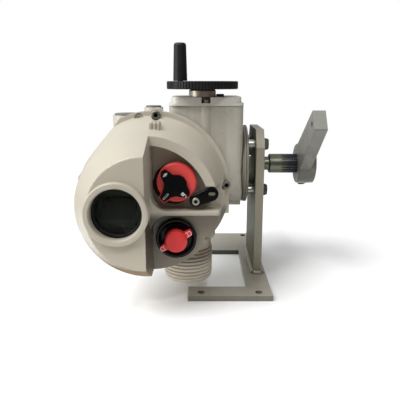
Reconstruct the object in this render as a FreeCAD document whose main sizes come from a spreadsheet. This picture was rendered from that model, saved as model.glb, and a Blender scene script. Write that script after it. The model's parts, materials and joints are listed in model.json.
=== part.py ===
import FreeCAD, Part
import math
import os
import re
import Sketcher

# Motorized quarter-turn valve actuator on a floor bracket, with an output lever.
# Frame: +X runs along the output shaft towards the lever, +Y to the rear, +Z up.
# Origin: centre of the base plate's four bolt holes, on the underside of the plate.
# All lengths are in millimetres and all angles in degrees.

Vector = FreeCAD.Vector
Rotation = FreeCAD.Rotation
Placement = FreeCAD.Placement

# Driving dimensions: alias, value, meaning.
DIMENSIONS = (
    ("axis_z", 175.5, "height of the output shaft's axis"),
    ("gap", 0.3, "clearance between pieces that turn past each other"),
    # bracket
    ("base_half_x", 61.0, "base plate, half length along X"),
    ("base_half_y", 148.0, "base plate, half length along Y"),
    ("base_thick", 8.0, "base plate thickness"),
    ("base_column_x", 26.5, "start of the solid strip under the upright"),
    ("base_front_y", -115.0, "front edge of the base plate's opening"),
    ("base_rear_y", 46.0, "rear edge of the base plate's opening"),
    ("base_bolt_x", 42.0, "floor bolt holes, half spacing along X"),
    ("base_bolt_y", 134.5, "floor bolt holes, half spacing along Y"),
    ("base_bolt_r", 5.5, "floor bolt hole radius"),
    ("upright_x", 41.6, "rear face of the upright plate"),
    ("upright_thick", 12.4, "upright plate thickness"),
    ("upright_half_y", 62.5, "upright plate, half width"),
    ("upright_shoulder_z", 209.0, "start of the upright's corner chamfers"),
    ("upright_top_z", 235.0, "top of the upright"),
    ("upright_top_half_y", 46.0, "half width of the upright's top edge"),
    ("upright_bore_r", 35.2, "centring bore in the upright"),
    ("weld_r", 5.0, "weld bead radius"),
    # output flange, ISO 5211 size F10
    ("flange_x", 21.5, "rear face of the output flange"),
    ("flange_thick", 9.5, "output flange thickness"),
    ("flange_r", 62.5, "output flange radius"),
    ("flange_bolt", 36.07, "flange bolts, offset along Y and Z (pitch circle 102)"),
    ("flange_thread_r", 5.0, "flange bolt hole radius"),
    ("spigot_r", 35.0, "centring ring outer radius"),
    ("sleeve_r", 7.0, "spacer sleeve outer radius"),
    ("bolt_r", 4.9, "bracket bolt shank radius"),
    ("bolt_clear_r", 5.5, "clearance hole for a bracket bolt"),
    ("bolt_head_r", 9.2, "bracket bolt head, radius across corners"),
    ("bolt_head_thick", 6.4, "bracket bolt head height"),
    ("washer_r", 10.0, "bracket washer radius"),
    ("washer_thick", 2.0, "bracket washer thickness"),
    # gear housing
    ("case_left_x", -90.0, "left end of the gear housing"),
    ("case_front_y", -61.5, "front face of the gear housing"),
    ("case_rear_y", 60.0, "rear face of the gear housing"),
    ("case_top_z", 271.0, "parting face between gear housing and lid"),
    ("case_round_r", 64.0, "radius of the housing's underside about the output shaft"),
    ("case_wall", 7.0, "gear housing wall"),
    ("case_corner_r", 12.0, "rounding of the housing's upright corners"),
    ("column_x", -34.8, "lid screw column on the housing's front"),
    ("column_r", 10.0, "lid screw column radius"),
    ("lid_low_thick", 4.0, "lower step of the lid"),
    ("lid_high_thick", 9.0, "upper step of the lid"),
    ("lid_step", 3.6, "set-back of the lid's upper step"),
    ("lid_front_y", -64.0, "front edge of the lid"),
    ("lid_screw_front", 6.0, "lid screws, distance in from the housing's front and rear"),
    ("lid_screw_side", 6.5, "lid screws, distance in from the housing's ends"),
    ("lid_screw_r", 2.5, "lid screw shank radius"),
    ("lid_screw_head_r", 4.9, "lid screw head radius"),
    ("lid_notch_r", 6.6, "radius of the notch round a lid screw's head"),
    ("lid_top_rounding", 1.2, "rounding of the lid's top edge"),
    ("gear_pocket_half", 41.0, "half width of the gear pocket under the worm"),
    ("gear_way_half", 36.0, "half width of the way through to the motor gear"),
    ("gear_pocket_z", 16.0, "depth of the gear pocket below the spur gear"),
    ("oil_plug_x", -13.0, "oil plug, X"),
    ("oil_plug_r", 6.0, "oil plug head radius"),
    ("oil_thread_r", 4.1, "oil plug thread radius"),
    ("rear_cap_r", 30.0, "radius of the cap over the rear output bearing"),
    ("rear_bore_r", 22.0, "bore for the rear output bearing"),
    ("front_bore_r", 28.5, "bore for the front output bearing"),
    ("front_seat_r", 15.0, "output shaft radius in the front bearing"),
    ("key_half", 3.0, "half width of the worm wheel's keyway"),
    ("wheel_hub_r", 18.0, "worm wheel hub radius"),
    # output shaft and lever
    ("shaft_neck_r", 11.0, "output shaft neck radius"),
    ("shaft_collar_r", 15.5, "output shaft collar radius"),
    ("shaft_seat_r", 12.0, "output shaft radius under the worm wheel"),
    ("shaft_journal_r", 10.0, "output shaft rear journal radius"),
    ("collar_x", 70.0, "start of the output shaft's collar"),
    ("spline_x", 89.0, "start of the output shaft's splines"),
    ("spline_depth", 1.3, "depth of a spline groove"),
    ("spline_count", 22, "splines round the output shaft"),
    ("lever_x", 114.0, "rear face of the lever"),
    ("lever_thick", 18.0, "lever arm thickness"),
    ("lever_hub_thick", 27.0, "lever hub thickness"),
    ("lever_hub_r", 32.0, "lever hub radius"),
    ("lever_length", 135.0, "lever length from the shaft axis"),
    ("lever_root_half", 24.0, "half width of the arm at the hub"),
    ("lever_tip_half", 16.0, "half width of the arm at its tip"),
    ("lever_pin_at", 121.0, "pin hole distance from the shaft axis"),
    ("lever_pin_r", 5.25, "pin hole radius"),
    ("lever_angle", 144.4, "direction of the arm, from +Y towards +Z"),
    ("clamp_at", -24.0, "clamp bolt position along the lever"),
    ("clamp_r", 4.0, "clamp bolt radius"),
    ("clamp_seat", 18.0, "clamp bolt seats, distance from the lever's centre line"),
    ("clamp_seat_r", 9.5, "clamp bolt seat radius"),
    ("clamp_hex_r", 7.5, "clamp bolt head and nut, radius across corners"),
    ("clamp_slot_half", 1.25, "half width of the slot through the hub"),
    # worm drive, module 1.5, single start, 1:40
    ("worm_x", -40.0, "worm axis and worm wheel mid plane, X"),
    ("worm_y", -40.0, "worm axis, Y"),
    ("worm_pitch", 4.712389, "axial pitch of the worm thread"),
    ("worm_core_r", 8.1, "worm core radius"),
    ("worm_tip_r", 11.35, "worm thread tip radius"),
    ("worm_root_half", 1.42, "half thickness of the thread at the core"),
    ("worm_tip_half", 0.34, "half thickness of the thread at its tip"),
    ("worm_turns", 8, "turns of thread on the worm"),
    ("worm_shaft_r", 6.0, "worm shaft journal radius"),
    ("worm_seat_r", 7.0, "worm shaft radius under the spur gear"),
    ("worm_bearing_r", 13.0, "worm shaft bearing outer radius"),
    ("wheel_teeth", 40, "teeth on the worm wheel"),
    ("wheel_tip_r", 31.3, "worm wheel tip radius"),
    ("wheel_root_r", 28.1, "worm wheel root radius"),
    ("wheel_root_half", 0.72, "half width of a tooth gap at the root"),
    ("wheel_tip_half", 1.86, "half width of a tooth gap at the tip"),
    ("wheel_thick", 12.0, "worm wheel face width"),
    ("wheel_twist", 0.86, "turn of the tooth gap from mid plane to either face"),
    # spur gears, module 1
    ("gear_module", 1.0, "module of the motor gears"),
    ("gear_teeth", 68, "teeth of the gear on the worm shaft"),
    ("pinion_teeth", 48, "teeth of the motor gear"),
    ("gear_thick", 8.0, "face width of the motor gears"),
    ("gear_z", 124.0, "underside of the motor gears"),
    ("gear_slack", 0.12, "extra half width of a tooth gap"),
    # handwheel
    ("handwheel_r", 53.5, "handwheel radius"),
    ("handwheel_z", 294.8, "underside of the handwheel"),
    ("handwheel_thick", 11.6, "handwheel thickness"),
    ("handwheel_ribs", 72, "grip grooves round the handwheel rim"),
    ("boss_r", 20.3, "radius of the boss under the handwheel"),
    ("boss_bore_r", 11.5, "bore of the boss"),
    ("cap_r", 11.0, "handwheel cap radius"),
    ("cap_recess", 4.0, "depth of the recess for the handwheel cap"),
    ("grip_x", -72.0, "handwheel grip axis, X"),
    ("grip_y", -70.0, "handwheel grip axis, Y"),
    ("grip_foot_r", 10.1, "grip radius at its foot"),
    ("grip_top_r", 8.8, "grip radius at its top"),
    ("grip_top_z", 359.0, "top of the grip"),
    ("grip_axle_r", 4.0, "grip axle radius"),
    # motor
    ("motor_x", -61.5, "motor axis, X"),
    ("motor_y", -93.87, "motor axis, Y"),
    ("motor_z", 18.0, "underside of the motor cover"),
    ("motor_top_z", 57.2, "joint between the motor cover and the neck"),
    ("motor_r", 34.2, "motor cover radius between the ribs"),
    ("motor_bore_r", 30.0, "motor cover inner radius"),
    ("rib_r", 1.9, "motor cover rib radius"),
    ("rib_pitch", 5.3, "spacing of the motor cover ribs"),
    ("rib_z", 28.4, "height of the lowest rib"),
    ("motor_shaft_r", 4.0, "motor shaft radius"),
    ("rotor_r", 17.0, "rotor radius"),
    ("stator_r", 29.6, "stator outer radius"),
    ("coil_circle_r", 22.5, "circle of the motor coils"),
    ("coil_slot_r", 2.4, "stator slot radius"),
    ("coil_r", 2.3, "motor coil radius"),
    ("motor_bearing_r", 8.0, "motor bearing outer radius"),
    ("motor_boss_r", 12.0, "radius of the bearing boss in the motor cover"),
    ("neck_screw_at", 24.0, "inner end of a motor screw, from the motor axis"),
    ("neck_screw_z", 70.0, "height of the motor screws in the neck"),
    ("neck_screw_r", 2.2, "motor screw radius"),
    # control housing (round drum)
    ("drum_x", -107.0, "drum axis, X"),
    ("drum_z", 163.0, "drum axis, Z"),
    ("drum_back_y", -64.0, "rear face of the drum"),
    ("drum_front_y", -127.5, "front face of the drum"),
    ("drum_r", 101.0, "drum radius"),
    ("drum_rim_r", 104.5, "radius of the drum's front rim"),
    ("drum_rim_depth", 7.0, "depth of the drum's front rim"),
    ("drum_wall", 6.0, "drum wall"),
    ("chord_angle", 143.0, "direction of the flat on the drum, from +X towards +Z"),
    ("chord_at", 92.0, "distance of the flat from the drum axis"),
    ("screw_circle_r", 99.5, "radius of the cover screw circle"),
    ("screw_lug_r", 8.5, "cover screw lug radius"),
    ("screw_r", 3.9, "cover screw shank radius"),
    ("screw_head_r", 5.6, "cover screw head radius"),
    ("entry_big_x", -143.3, "large cable entry, X"),
    ("entry_big_y", -104.0, "large cable entry, Y"),
    ("entry_big_r", 21.3, "large cable entry radius"),
    ("entry_big_z", 260.5, "top of the large cable entry"),
    ("entry_big_bore", 16.0, "large cable entry bore radius"),
    ("entry_small_x", -110.0, "small cable entry, X"),
    ("entry_small_y", -80.0, "small cable entry, Y"),
    ("entry_small_r", 13.5, "small cable entry radius"),
    ("entry_small_z", 270.0, "top of the small cable entry"),
    ("entry_small_bore", 8.0, "small cable entry bore radius"),
    ("entry_key_half", 1.5, "half width of the slot in an entry plug"),
    # front cover
    ("gasket_thick", 1.0, "cover gasket thickness"),
    ("cover_rim_y", -134.5, "front of the cover's flange"),
    ("cover_base_r", 98.5, "cover radius at its flange"),
    ("cover_x", -112.0, "centre of the cover's front, X"),
    ("cover_z", 147.0, "centre of the cover's front, Z"),
    ("cover_step_y", -186.0, "plane where the cover's raised half begins"),
    ("cover_step_r", 93.0, "cover radius at that plane"),
    ("cover_face_y", -222.0, "front face of the cover's raised half"),
    ("cover_face_r", 72.0, "radius of that face"),
    ("cover_wall", 5.0, "cover wall"),
    ("cover_edge_x", -110.5, "right edge of the raised half's face"),
    ("cover_edge_lean", 5.0, "how far the raised half's side wall leans out"),
    ("rim_inner_r", 81.0, "inside of the rim round the upper pocket"),
    ("upper_floor_y", -160.0, "floor of the upper selector pocket"),
    ("lower_floor_y", -169.0, "floor of the lower selector pocket"),
    ("rib_top_z", 143.5, "top of the bar between the pockets"),
    ("rib_low_z", 137.5, "underside of the bar between the pockets"),
    ("latch_way_z", 176.0, "top of the pocket's open right end"),
    ("pocket_corner_r", 22.0, "inner corner radius of the selector pockets"),
    ("window_x", -145.5, "window centre, X"),
    ("window_z", 149.0, "window centre, Z"),
    ("window_ring_r", 40.0, "window ring outer radius"),
    ("window_r", 32.0, "window opening radius"),
    ("window_front_y", -228.0, "front of the window ring"),
    ("glass_y", -210.0, "front face of the window glass"),
    ("glass_thick", 4.0, "window glass thickness"),
    ("pad_low", 80.0, "underside of the pad below the top screw, above the drum axis"),
    ("pad_high", 92.5, "top of that pad, above the drum axis"),
    ("pad_wide", 12.0, "right edge of that pad, from the drum axis"),
    ("pad_deep", 36.0, "reach of that pad in front of the cover's flange"),
    ("pad_groove_r", 1.2, "radius of the two grooves in the pad"),
    ("dimple_x", -18.0, "round dimple in the cover's flange, from the drum axis"),
    ("dimple_z", 96.0, "height of the dimple above the drum axis"),
    ("dimple_r", 5.6, "dimple radius"),
    ("dimple_hole_r", 1.2, "radius of the hole in the dimple"),
    # selectors
    ("upper_x", -73.5, "upper selector axis, X"),
    ("upper_z", 180.0, "upper selector axis, Z"),
    ("upper_r", 25.5, "upper selector disc radius"),
    ("upper_bezel_r", 27.0, "upper base disc radius"),
    ("upper_base_shift", 4.6, "shift of the base disc, left and down of the selector"),
    ("upper_front_y", -181.0, "front face of the upper selector disc"),
    ("lower_x", -75.0, "lower selector axis, X"),
    ("lower_z", 103.0, "lower selector axis, Z"),
    ("lower_bezel_r", 27.0, "lower bezel radius"),
    ("lower_knob_r", 14.7, "lower knob radius"),
    ("lower_front_y", -190.0, "front face of the lower knob"),
    ("selector_shaft_r", 4.9, "selector shaft radius"),
    ("latch_x", -49.0, "padlock latch pivot, X"),
    ("latch_z", 156.0, "padlock latch pivot, Z"),
    ("latch_y", -177.0, "rear face of the padlock latch"),
    ("latch_thick", 6.0, "padlock latch thickness"),
    ("latch_length", 22.0, "pivot to the eye of the latch"),
    ("latch_angle", 24.0, "direction of the latch, from +X towards +Z"),
    ("latch_root_r", 8.2, "latch radius round its pivot"),
    ("latch_eye_r", 9.2, "latch radius round its eye"),
    ("latch_slot_r", 2.6, "radius of the latch's holes"),
    ("latch_post_r", 4.5, "latch post radius"),
    ("latch_screw_r", 2.5, "latch screw shank radius"),
    ("latch_head_r", 4.8, "latch screw head radius"),
    # electronics
    ("board_gap", 10.0, "space behind the control board"),
    ("board_thick", 1.6, "thickness of the circuit boards"),
    ("relay_pitch", 22.0, "spacing of the relays"),
    ("relay_wide", 15.0, "relay width"),
    ("terminal_pitch", 12.0, "spacing of the terminal screws"),
    ("terminal_r", 2.6, "terminal screw hole radius"),
)

doc = FreeCAD.newDocument("valve_actuator")
dim = doc.addObject("Spreadsheet::Sheet", "dim")
for row, (alias, value, meaning) in enumerate(DIMENSIONS, start=1):
    dim.set(f"A{row}", meaning)
    dim.set(f"B{row}", str(value))
    dim.setAlias(f"B{row}", alias)
doc.recompute()

ALIASES = {alias for alias, value, meaning in DIMENSIONS}
WORD = re.compile(r"[a-z][a-z_0-9]*")

# Local z axis of a piece: up, towards the lever (side) or towards the front face.
# "side" has local x along Y and local y along Z.  "front" keeps x along X and has y along Z.
FACING = {
    "up": Rotation(),
    "down": Rotation(Vector(1, 0, 0), 180),
    "side": Rotation(Vector(1, 1, 1), 120),
    "front": Rotation(Vector(1, 0, 0), 90),
    "rear": Rotation(Vector(1, 0, 0), -90),
}

nodes = {}


# ---------------------------------------------------------------- small helpers

def bound(text):
    """An expression with every alias in it written as a cell of the sheet."""
    def cell(word):
        name = word.group()
        return "dim." + name if name in ALIASES else name

    return WORD.sub(cell, str(text))


def amount(text):
    """The value that an expression has now."""
    return float(dim.evalExpression(bound(text)))


def bind(obj, **sizes):
    """Bind properties of an object to expressions on the sheet."""
    for name, text in sizes.items():
        obj.setExpression(name, bound(text))
    return obj


def place(obj, at=(0, 0, 0), facing="up", spin=0.0):
    """Turn an object to its facing, spun about its own z axis, and bind its position."""
    turn = FACING[facing].multiply(Rotation(Vector(0, 0, 1), spin))
    obj.Placement = Placement(Vector(), turn)
    for letter, text in zip("xyz", at):
        obj.setExpression("Placement.Base." + letter, bound(text))
    return obj


def cylinder(radius, length, at, facing="up"):
    obj = doc.addObject("Part::Cylinder", "cylinder")
    bind(obj, Radius=radius, Height=length)
    return place(obj, at, facing)


def cone(radius, end_radius, length, at, facing="up"):
    obj = doc.addObject("Part::Cone", "cone")
    bind(obj, Radius1=radius, Radius2=end_radius, Height=length)
    return place(obj, at, facing)


def torus(radius, tube, at, facing="up"):
    obj = doc.addObject("Part::Torus", "torus")
    bind(obj, Radius1=radius, Radius2=tube)
    return place(obj, at, facing)


def ball(radius, at):
    obj = doc.addObject("Part::Sphere", "ball")
    bind(obj, Radius=radius)
    return place(obj, at)


def box(low, high):
    """A box between two corners, each given as three expressions."""
    obj = doc.addObject("Part::Box", "box")
    spans = [f"({b}) - ({a})" for a, b in zip(low, high)]
    bind(obj, Length=spans[0], Width=spans[1], Height=spans[2])
    return place(obj, low)


def hexagon(corner_radius, length, at, facing="up", spin=0.0):
    obj = doc.addObject("Part::Prism", "hexagon")
    obj.Polygon = 6
    bind(obj, Circumradius=corner_radius, Height=length)
    return place(obj, at, facing, spin)


def fuse(*pieces):
    obj = doc.addObject("Part::MultiFuse", "fuse")
    obj.Shapes = list(pieces)
    obj.Refine = True
    return obj


def cut(base, *tools):
    tool = tools[0] if len(tools) == 1 else fuse(*tools)
    obj = doc.addObject("Part::Cut", "cut")
    obj.Base = base
    obj.Tool = tool
    obj.Refine = True
    return obj


def cut_each(base, *tools):
    """Cut the tools one after another, which keeps each cut simple."""
    for tool in tools:
        base = cut(base, tool)
    return base


def common(*pieces):
    obj = doc.addObject("Part::MultiCommon", "common")
    obj.Shapes = list(pieces)
    obj.Refine = True
    return obj


def group(*pieces):
    """Separate solids that share one node."""
    obj = doc.addObject("Part::Compound", "group")
    obj.Links = list(pieces)
    return obj


def rounded(base, radius, chosen):
    """Fillet the edges of a piece for which chosen(edge) is true."""
    doc.recompute()
    numbers = [i for i, edge in enumerate(base.Shape.Edges, start=1) if chosen(edge)]
    if not numbers:
        raise RuntimeError(f"no edge to round on {base.Name}")
    obj = doc.addObject("Part::Fillet", "rounded")
    obj.Base = base
    obj.Edges = [(number, amount(radius), amount(radius)) for number in numbers]
    return obj


def sketch_on(body, role, name):
    """A sketch on one of the body's own origin planes."""
    plane = next(item for item in body.Origin.OriginFeatures if item.Role == role)
    sketch = body.newObject("Sketcher::SketchObject", name)
    sketch.AttachmentSupport = [(plane, "")]
    sketch.MapMode = "FlatFace"
    return sketch


def add_outline(sketch, points):
    """A closed polygon whose corners are bound to pairs of expressions."""
    first = sketch.GeometryCount
    corners = [Vector(amount(x), amount(y), 0) for x, y in points]
    count = len(points)
    for i, corner in enumerate(corners):
        sketch.addGeometry(Part.LineSegment(corner, corners[(i + 1) % count]))
    for i in range(count):
        after = first + (i + 1) % count
        sketch.addConstraint(Sketcher.Constraint("Coincident", first + i, 2, after, 1))
    for i, pair in enumerate(points):
        for kind, text in zip(("DistanceX", "DistanceY"), pair):
            rule = Sketcher.Constraint(kind, -1, 1, first + i, 1, amount(text))
            index = sketch.addConstraint(rule)
            sketch.setExpression(f"Constraints[{index}]", bound(text))


def add_circle(sketch, x, y, radius):
    """A circle whose centre and radius are bound to expressions."""
    geometry = sketch.addGeometry(
        Part.Circle(Vector(amount(x), amount(y), 0), Vector(0, 0, 1), amount(radius)))
    rules = (
        (Sketcher.Constraint("DistanceX", -1, 1, geometry, 3, amount(x)), x),
        (Sketcher.Constraint("DistanceY", -1, 1, geometry, 3, amount(y)), y),
        (Sketcher.Constraint("Radius", geometry, amount(radius)), radius),
    )
    for rule, text in rules:
        index = sketch.addConstraint(rule)
        sketch.setExpression(f"Constraints[{index}]", bound(text))


def new_body(at, facing, spin=0.0):
    return place(doc.addObject("PartDesign::Body", "body"), at, facing, spin)


def turned(points, at=(0, 0, 0), facing="up"):
    """A body of revolution; each point is (radius, distance along the axis)."""
    body = new_body(at, facing)
    sketch = sketch_on(body, "XZ_Plane", "profile")
    add_outline(sketch, points)
    turn = body.newObject("PartDesign::Revolution", "revolution")
    turn.Profile = sketch
    turn.ReferenceAxis = (sketch, ["V_Axis"])
    turn.Angle = 360.0
    return body


def plate(points, thickness, at=(0, 0, 0), facing="up", spin=0.0, holes=()):
    """A flat plate with round holes, each given as (x, y, radius)."""
    body = new_body(at, facing, spin)
    sketch = sketch_on(body, "XY_Plane", "outline")
    add_outline(sketch, points)
    for hole in holes:
        add_circle(sketch, *hole)
    pad = body.newObject("PartDesign::Pad", "pad")
    pad.Profile = sketch
    bind(pad, Length=thickness)
    return body


def disc(radius, thickness, at, facing="up", holes=()):
    """A round plate with round holes."""
    body = new_body(at, facing)
    sketch = sketch_on(body, "XY_Plane", "outline")
    add_circle(sketch, 0, 0, radius)
    for hole in holes:
        add_circle(sketch, *hole)
    pad = body.newObject("PartDesign::Pad", "pad")
    pad.Profile = sketch
    bind(pad, Length=thickness)
    return body


def repeat_round(body, feature, sketch, count):
    """Repeat a feature of a body round the sketch's normal, and end the body with it."""
    doc.recompute()
    before = body.Shape.Volume
    pattern = body.newObject("PartDesign::PolarPattern", "polar_pattern")
    pattern.Originals = [feature]
    pattern.Axis = (sketch, ["N_Axis"])
    pattern.Angle = 360.0
    bind(pattern, Occurrences=count)
    body.Tip = pattern
    doc.recompute()
    if abs(body.Shape.Volume - before) < 1.0:
        raise RuntimeError(f"pattern on {body.Name} changed nothing")
    return body


def grooves_round(body, points, length, count, start=0):
    """Cut the same groove, drawn in the body's XY plane, all round the body."""
    doc.recompute()
    before = body.Shape.Volume
    sketch = sketch_on(body, "XY_Plane", "groove")
    if start:
        offset = Placement(Vector(0, 0, amount(start)), Rotation())
        sketch.AttachmentOffset = offset
    add_outline(sketch, points)
    pocket = body.newObject("PartDesign::Pocket", "pocket")
    pocket.Profile = sketch
    pocket.Reversed = True
    bind(pocket, Length=length)
    doc.recompute()
    if body.Shape.Volume > before - 1.0:
        raise RuntimeError(f"groove on {body.Name} cut nothing")
    return repeat_round(body, pocket, sketch, count)


def node(name, obj):
    """Label a finished sub-part; its label names its file."""
    obj.Label = name
    nodes[name] = obj
    return obj


def around(count, radius, start=0.0):
    """Offsets of points evenly spaced round a circle, starting at an angle from local x."""
    for i in range(count):
        angle = math.radians(start + 360.0 * i / count)
        yield radius * math.cos(angle), radius * math.sin(angle)


def ball_bearing(bore, outer, width, balls, at, facing="up"):
    """Two grooved rings and their balls."""
    race = amount(bore) + 0.30 * (amount(outer) - amount(bore))
    cup = amount(bore) + 0.70 * (amount(outer) - amount(bore))
    middle = (amount(bore) + amount(outer)) / 2
    ball_r = (amount(outer) - amount(bore)) * 0.27
    inner = turned([(bore, 0), (race, 0), (race, width), (bore, width)], at, facing)
    outer_ring = turned([(cup, 0), (outer, 0), (outer, width), (cup, width)], at, facing)
    track = torus(middle, ball_r + 0.05, at, facing)
    shift = FACING[facing].multVec(Vector(0, 0, amount(width) / 2))
    centre = [f"({text}) + ({offset})" for text, offset in zip(at, shift)]
    place(track, centre, facing)
    spheres = []
    for x, y in around(balls, middle):
        offset = FACING[facing].multVec(Vector(x, y, 0))
        spheres.append(ball(ball_r, [f"({text}) + ({move})" for text, move in zip(centre, offset)]))
    return group(cut(inner, track), cut(outer_ring, track), *spheres)


def socket_screw(head_r, head_thick, shank_r, length, at, facing):
    """Cylinder-head screw; its z axis points out of the head, and z = 0 is under the head."""
    head = turned([(0, 0), (head_r, 0), (head_r, f"({head_thick}) - 0.6"),
                   (f"({head_r}) - 0.6", head_thick), (0, head_thick)], at, facing)
    back = FACING[facing].multVec(Vector(0, 0, -amount(length)))
    shank = cylinder(shank_r, f"({length}) + 0.5",
                     [f"({text}) + ({move})" for text, move in zip(at, back)], facing)
    up = FACING[facing].multVec(Vector(0, 0, amount(head_thick) * 0.4))
    key = hexagon(f"({head_r}) * 0.56", head_thick,
                  [f"({text}) + ({move})" for text, move in zip(at, up)], facing)
    return cut(fuse(head, shank), key)


# ---------------------------------------------------------------- bracket

def flange_corners():
    """The four flange bolt positions, as (y, z) expressions."""
    for sign_y in "-+":
        for sign_z in "-+":
            yield f"0 {sign_y} flange_bolt", f"axis_z {sign_z} flange_bolt"


def make_base_plate():
    outline = [
        ("-base_half_x", "-base_half_y"), ("base_half_x", "-base_half_y"),
        ("base_half_x", "base_half_y"), ("-base_half_x", "base_half_y"),
        ("-base_half_x", "base_rear_y"), ("base_column_x", "base_rear_y"),
        ("base_column_x", "base_front_y"), ("-base_half_x", "base_front_y"),
    ]
    holes = [(f"0 {a} base_bolt_x", f"0 {b} base_bolt_y", "base_bolt_r") for a in "-+" for b in "-+"]
    node("base_plate", plate(outline, "base_thick", holes=holes))


def make_upright():
    outline = [
        ("-upright_half_y", "base_thick"), ("upright_half_y", "base_thick"),
        ("upright_half_y", "upright_shoulder_z"), ("upright_top_half_y", "upright_top_z"),
        ("-upright_top_half_y", "upright_top_z"), ("-upright_half_y", "upright_shoulder_z"),
    ]
    holes = [(y, z, "bolt_clear_r") for y, z in flange_corners()]
    holes.append((0, "axis_z", "upright_bore_r"))
    node("upright_plate", plate(outline, "upright_thick", ("upright_x", 0, 0), "side", holes=holes))


def make_weld_beads():
    """Fillet welds round the foot of the upright, one bead on each side."""
    rear_x = "upright_x"
    front_x = "upright_x + upright_thick"
    long_at = "-upright_half_y"
    along = "2 * upright_half_y"
    slab = box(("upright_x - weld_r", "-upright_half_y - weld_r", "base_thick"),
               ("upright_x + upright_thick + weld_r", "upright_half_y + weld_r", "base_thick + weld_r"))
    plate_space = box(("upright_x", "-upright_half_y", "base_thick - 1"),
                      ("upright_x + upright_thick", "upright_half_y", "base_thick + 2 * weld_r"))
    beads = []
    for x in (rear_x, front_x):
        rod = doc.addObject("Part::Cylinder", "bead")
        bind(rod, Radius="weld_r", Height=along)
        rod.Placement = Placement(Vector(), Rotation(Vector(1, 0, 0), -90))
        for letter, text in zip("xyz", (x, long_at, "base_thick")):
            rod.setExpression("Placement.Base." + letter, bound(text))
        beads.append(cut(common(rod, slab), plate_space))
    for y in ("-upright_half_y", "upright_half_y"):
        rod = doc.addObject("Part::Cylinder", "bead")
        bind(rod, Radius="weld_r", Height="upright_thick")
        rod.Placement = Placement(Vector(), Rotation(Vector(0, 1, 0), 90))
        for letter, text in zip("xyz", ("upright_x", y, "base_thick")):
            rod.setExpression("Placement.Base." + letter, bound(text))
        beads.append(cut(common(rod, slab), plate_space))
    node("weld_beads", group(*beads))


def make_bracket_hardware():
    sleeves = []
    bolts = []
    washers = []
    face = "upright_x + upright_thick"
    for y, z in flange_corners():
        start = ("flange_x + flange_thick", y, z)
        length = "upright_x - flange_x - flange_thick"
        sleeves.append(cut(cylinder("sleeve_r", length, start, "side"),
                           cylinder("bolt_clear_r", length, start, "side")))
        washer_at = (face, y, z)
        washers.append(cut(cylinder("washer_r", "washer_thick", washer_at, "side"),
                           cylinder("bolt_clear_r", "washer_thick", washer_at, "side")))
        seat = f"{face} + washer_thick"
        shank = cylinder("bolt_r", f"{seat} - flange_x - 1", ("flange_x + 1", y, z), "side")
        head = hexagon("bolt_head_r", "bolt_head_thick", (seat, y, z), "side", spin=12.0)
        dome = cone("bolt_head_r * 1.12", "bolt_head_r * 0.86", "bolt_head_thick", (seat, y, z), "side")
        bolts.append(fuse(shank, common(head, dome)))
    node("spacer_sleeves", group(*sleeves))
    node("bracket_washers", group(*washers))
    node("bracket_bolts", group(*bolts))
    centring = turned([("shaft_collar_r + 3", 0), ("spigot_r", 0), ("spigot_r", "14"),
                       ("spigot_r - 1", "15"), ("shaft_collar_r + 3", "15")],
                      ("flange_x + flange_thick", 0, "axis_z"), "side")
    node("centring_ring", centring)


# ---------------------------------------------------------------- gear housing

def case_solid(inset, low_x, high_x, top):
    """The housing's rounded form, set in by inset all round."""
    block = box((low_x, f"case_front_y + ({inset})", "axis_z"), (high_x, f"case_rear_y - ({inset})", top))
    belly = cylinder(f"case_round_r - ({inset})", f"({high_x}) - ({low_x})", (low_x, 0, "axis_z"), "side")
    trim = box((low_x, f"case_front_y + ({inset})", "0"), (high_x, f"case_rear_y - ({inset})", top))
    return fuse(block, common(belly, trim))


def upright_edge(edge, length=60.0):
    """True for a long straight vertical edge."""
    ends = [vertex.Point for vertex in edge.Vertexes]
    if len(ends) != 2:
        return False
    span = ends[1] - ends[0]
    return abs(span.z) > length and abs(span.x) < 0.01 and abs(span.y) < 0.01


def lid_screw_places():
    """Lid screws: front, rear, left and right, as (x, y) expressions."""
    return (("column_x", "case_front_y + lid_screw_front"), ("column_x", "case_rear_y - lid_screw_front"),
            ("case_left_x + lid_screw_side", 0), ("flange_x - lid_screw_side", 0))


def gear_pocket(inset, roof):
    """Space for the spur gear below the worm, which reaches forward to the drum."""
    half = f"(gear_pocket_half - ({inset}))"
    return box((f"worm_x - {half}", "lid_front_y", f"gear_z - gear_pocket_z + ({inset})"),
               (f"worm_x + {half}", f"worm_y + {half}", roof))


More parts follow.
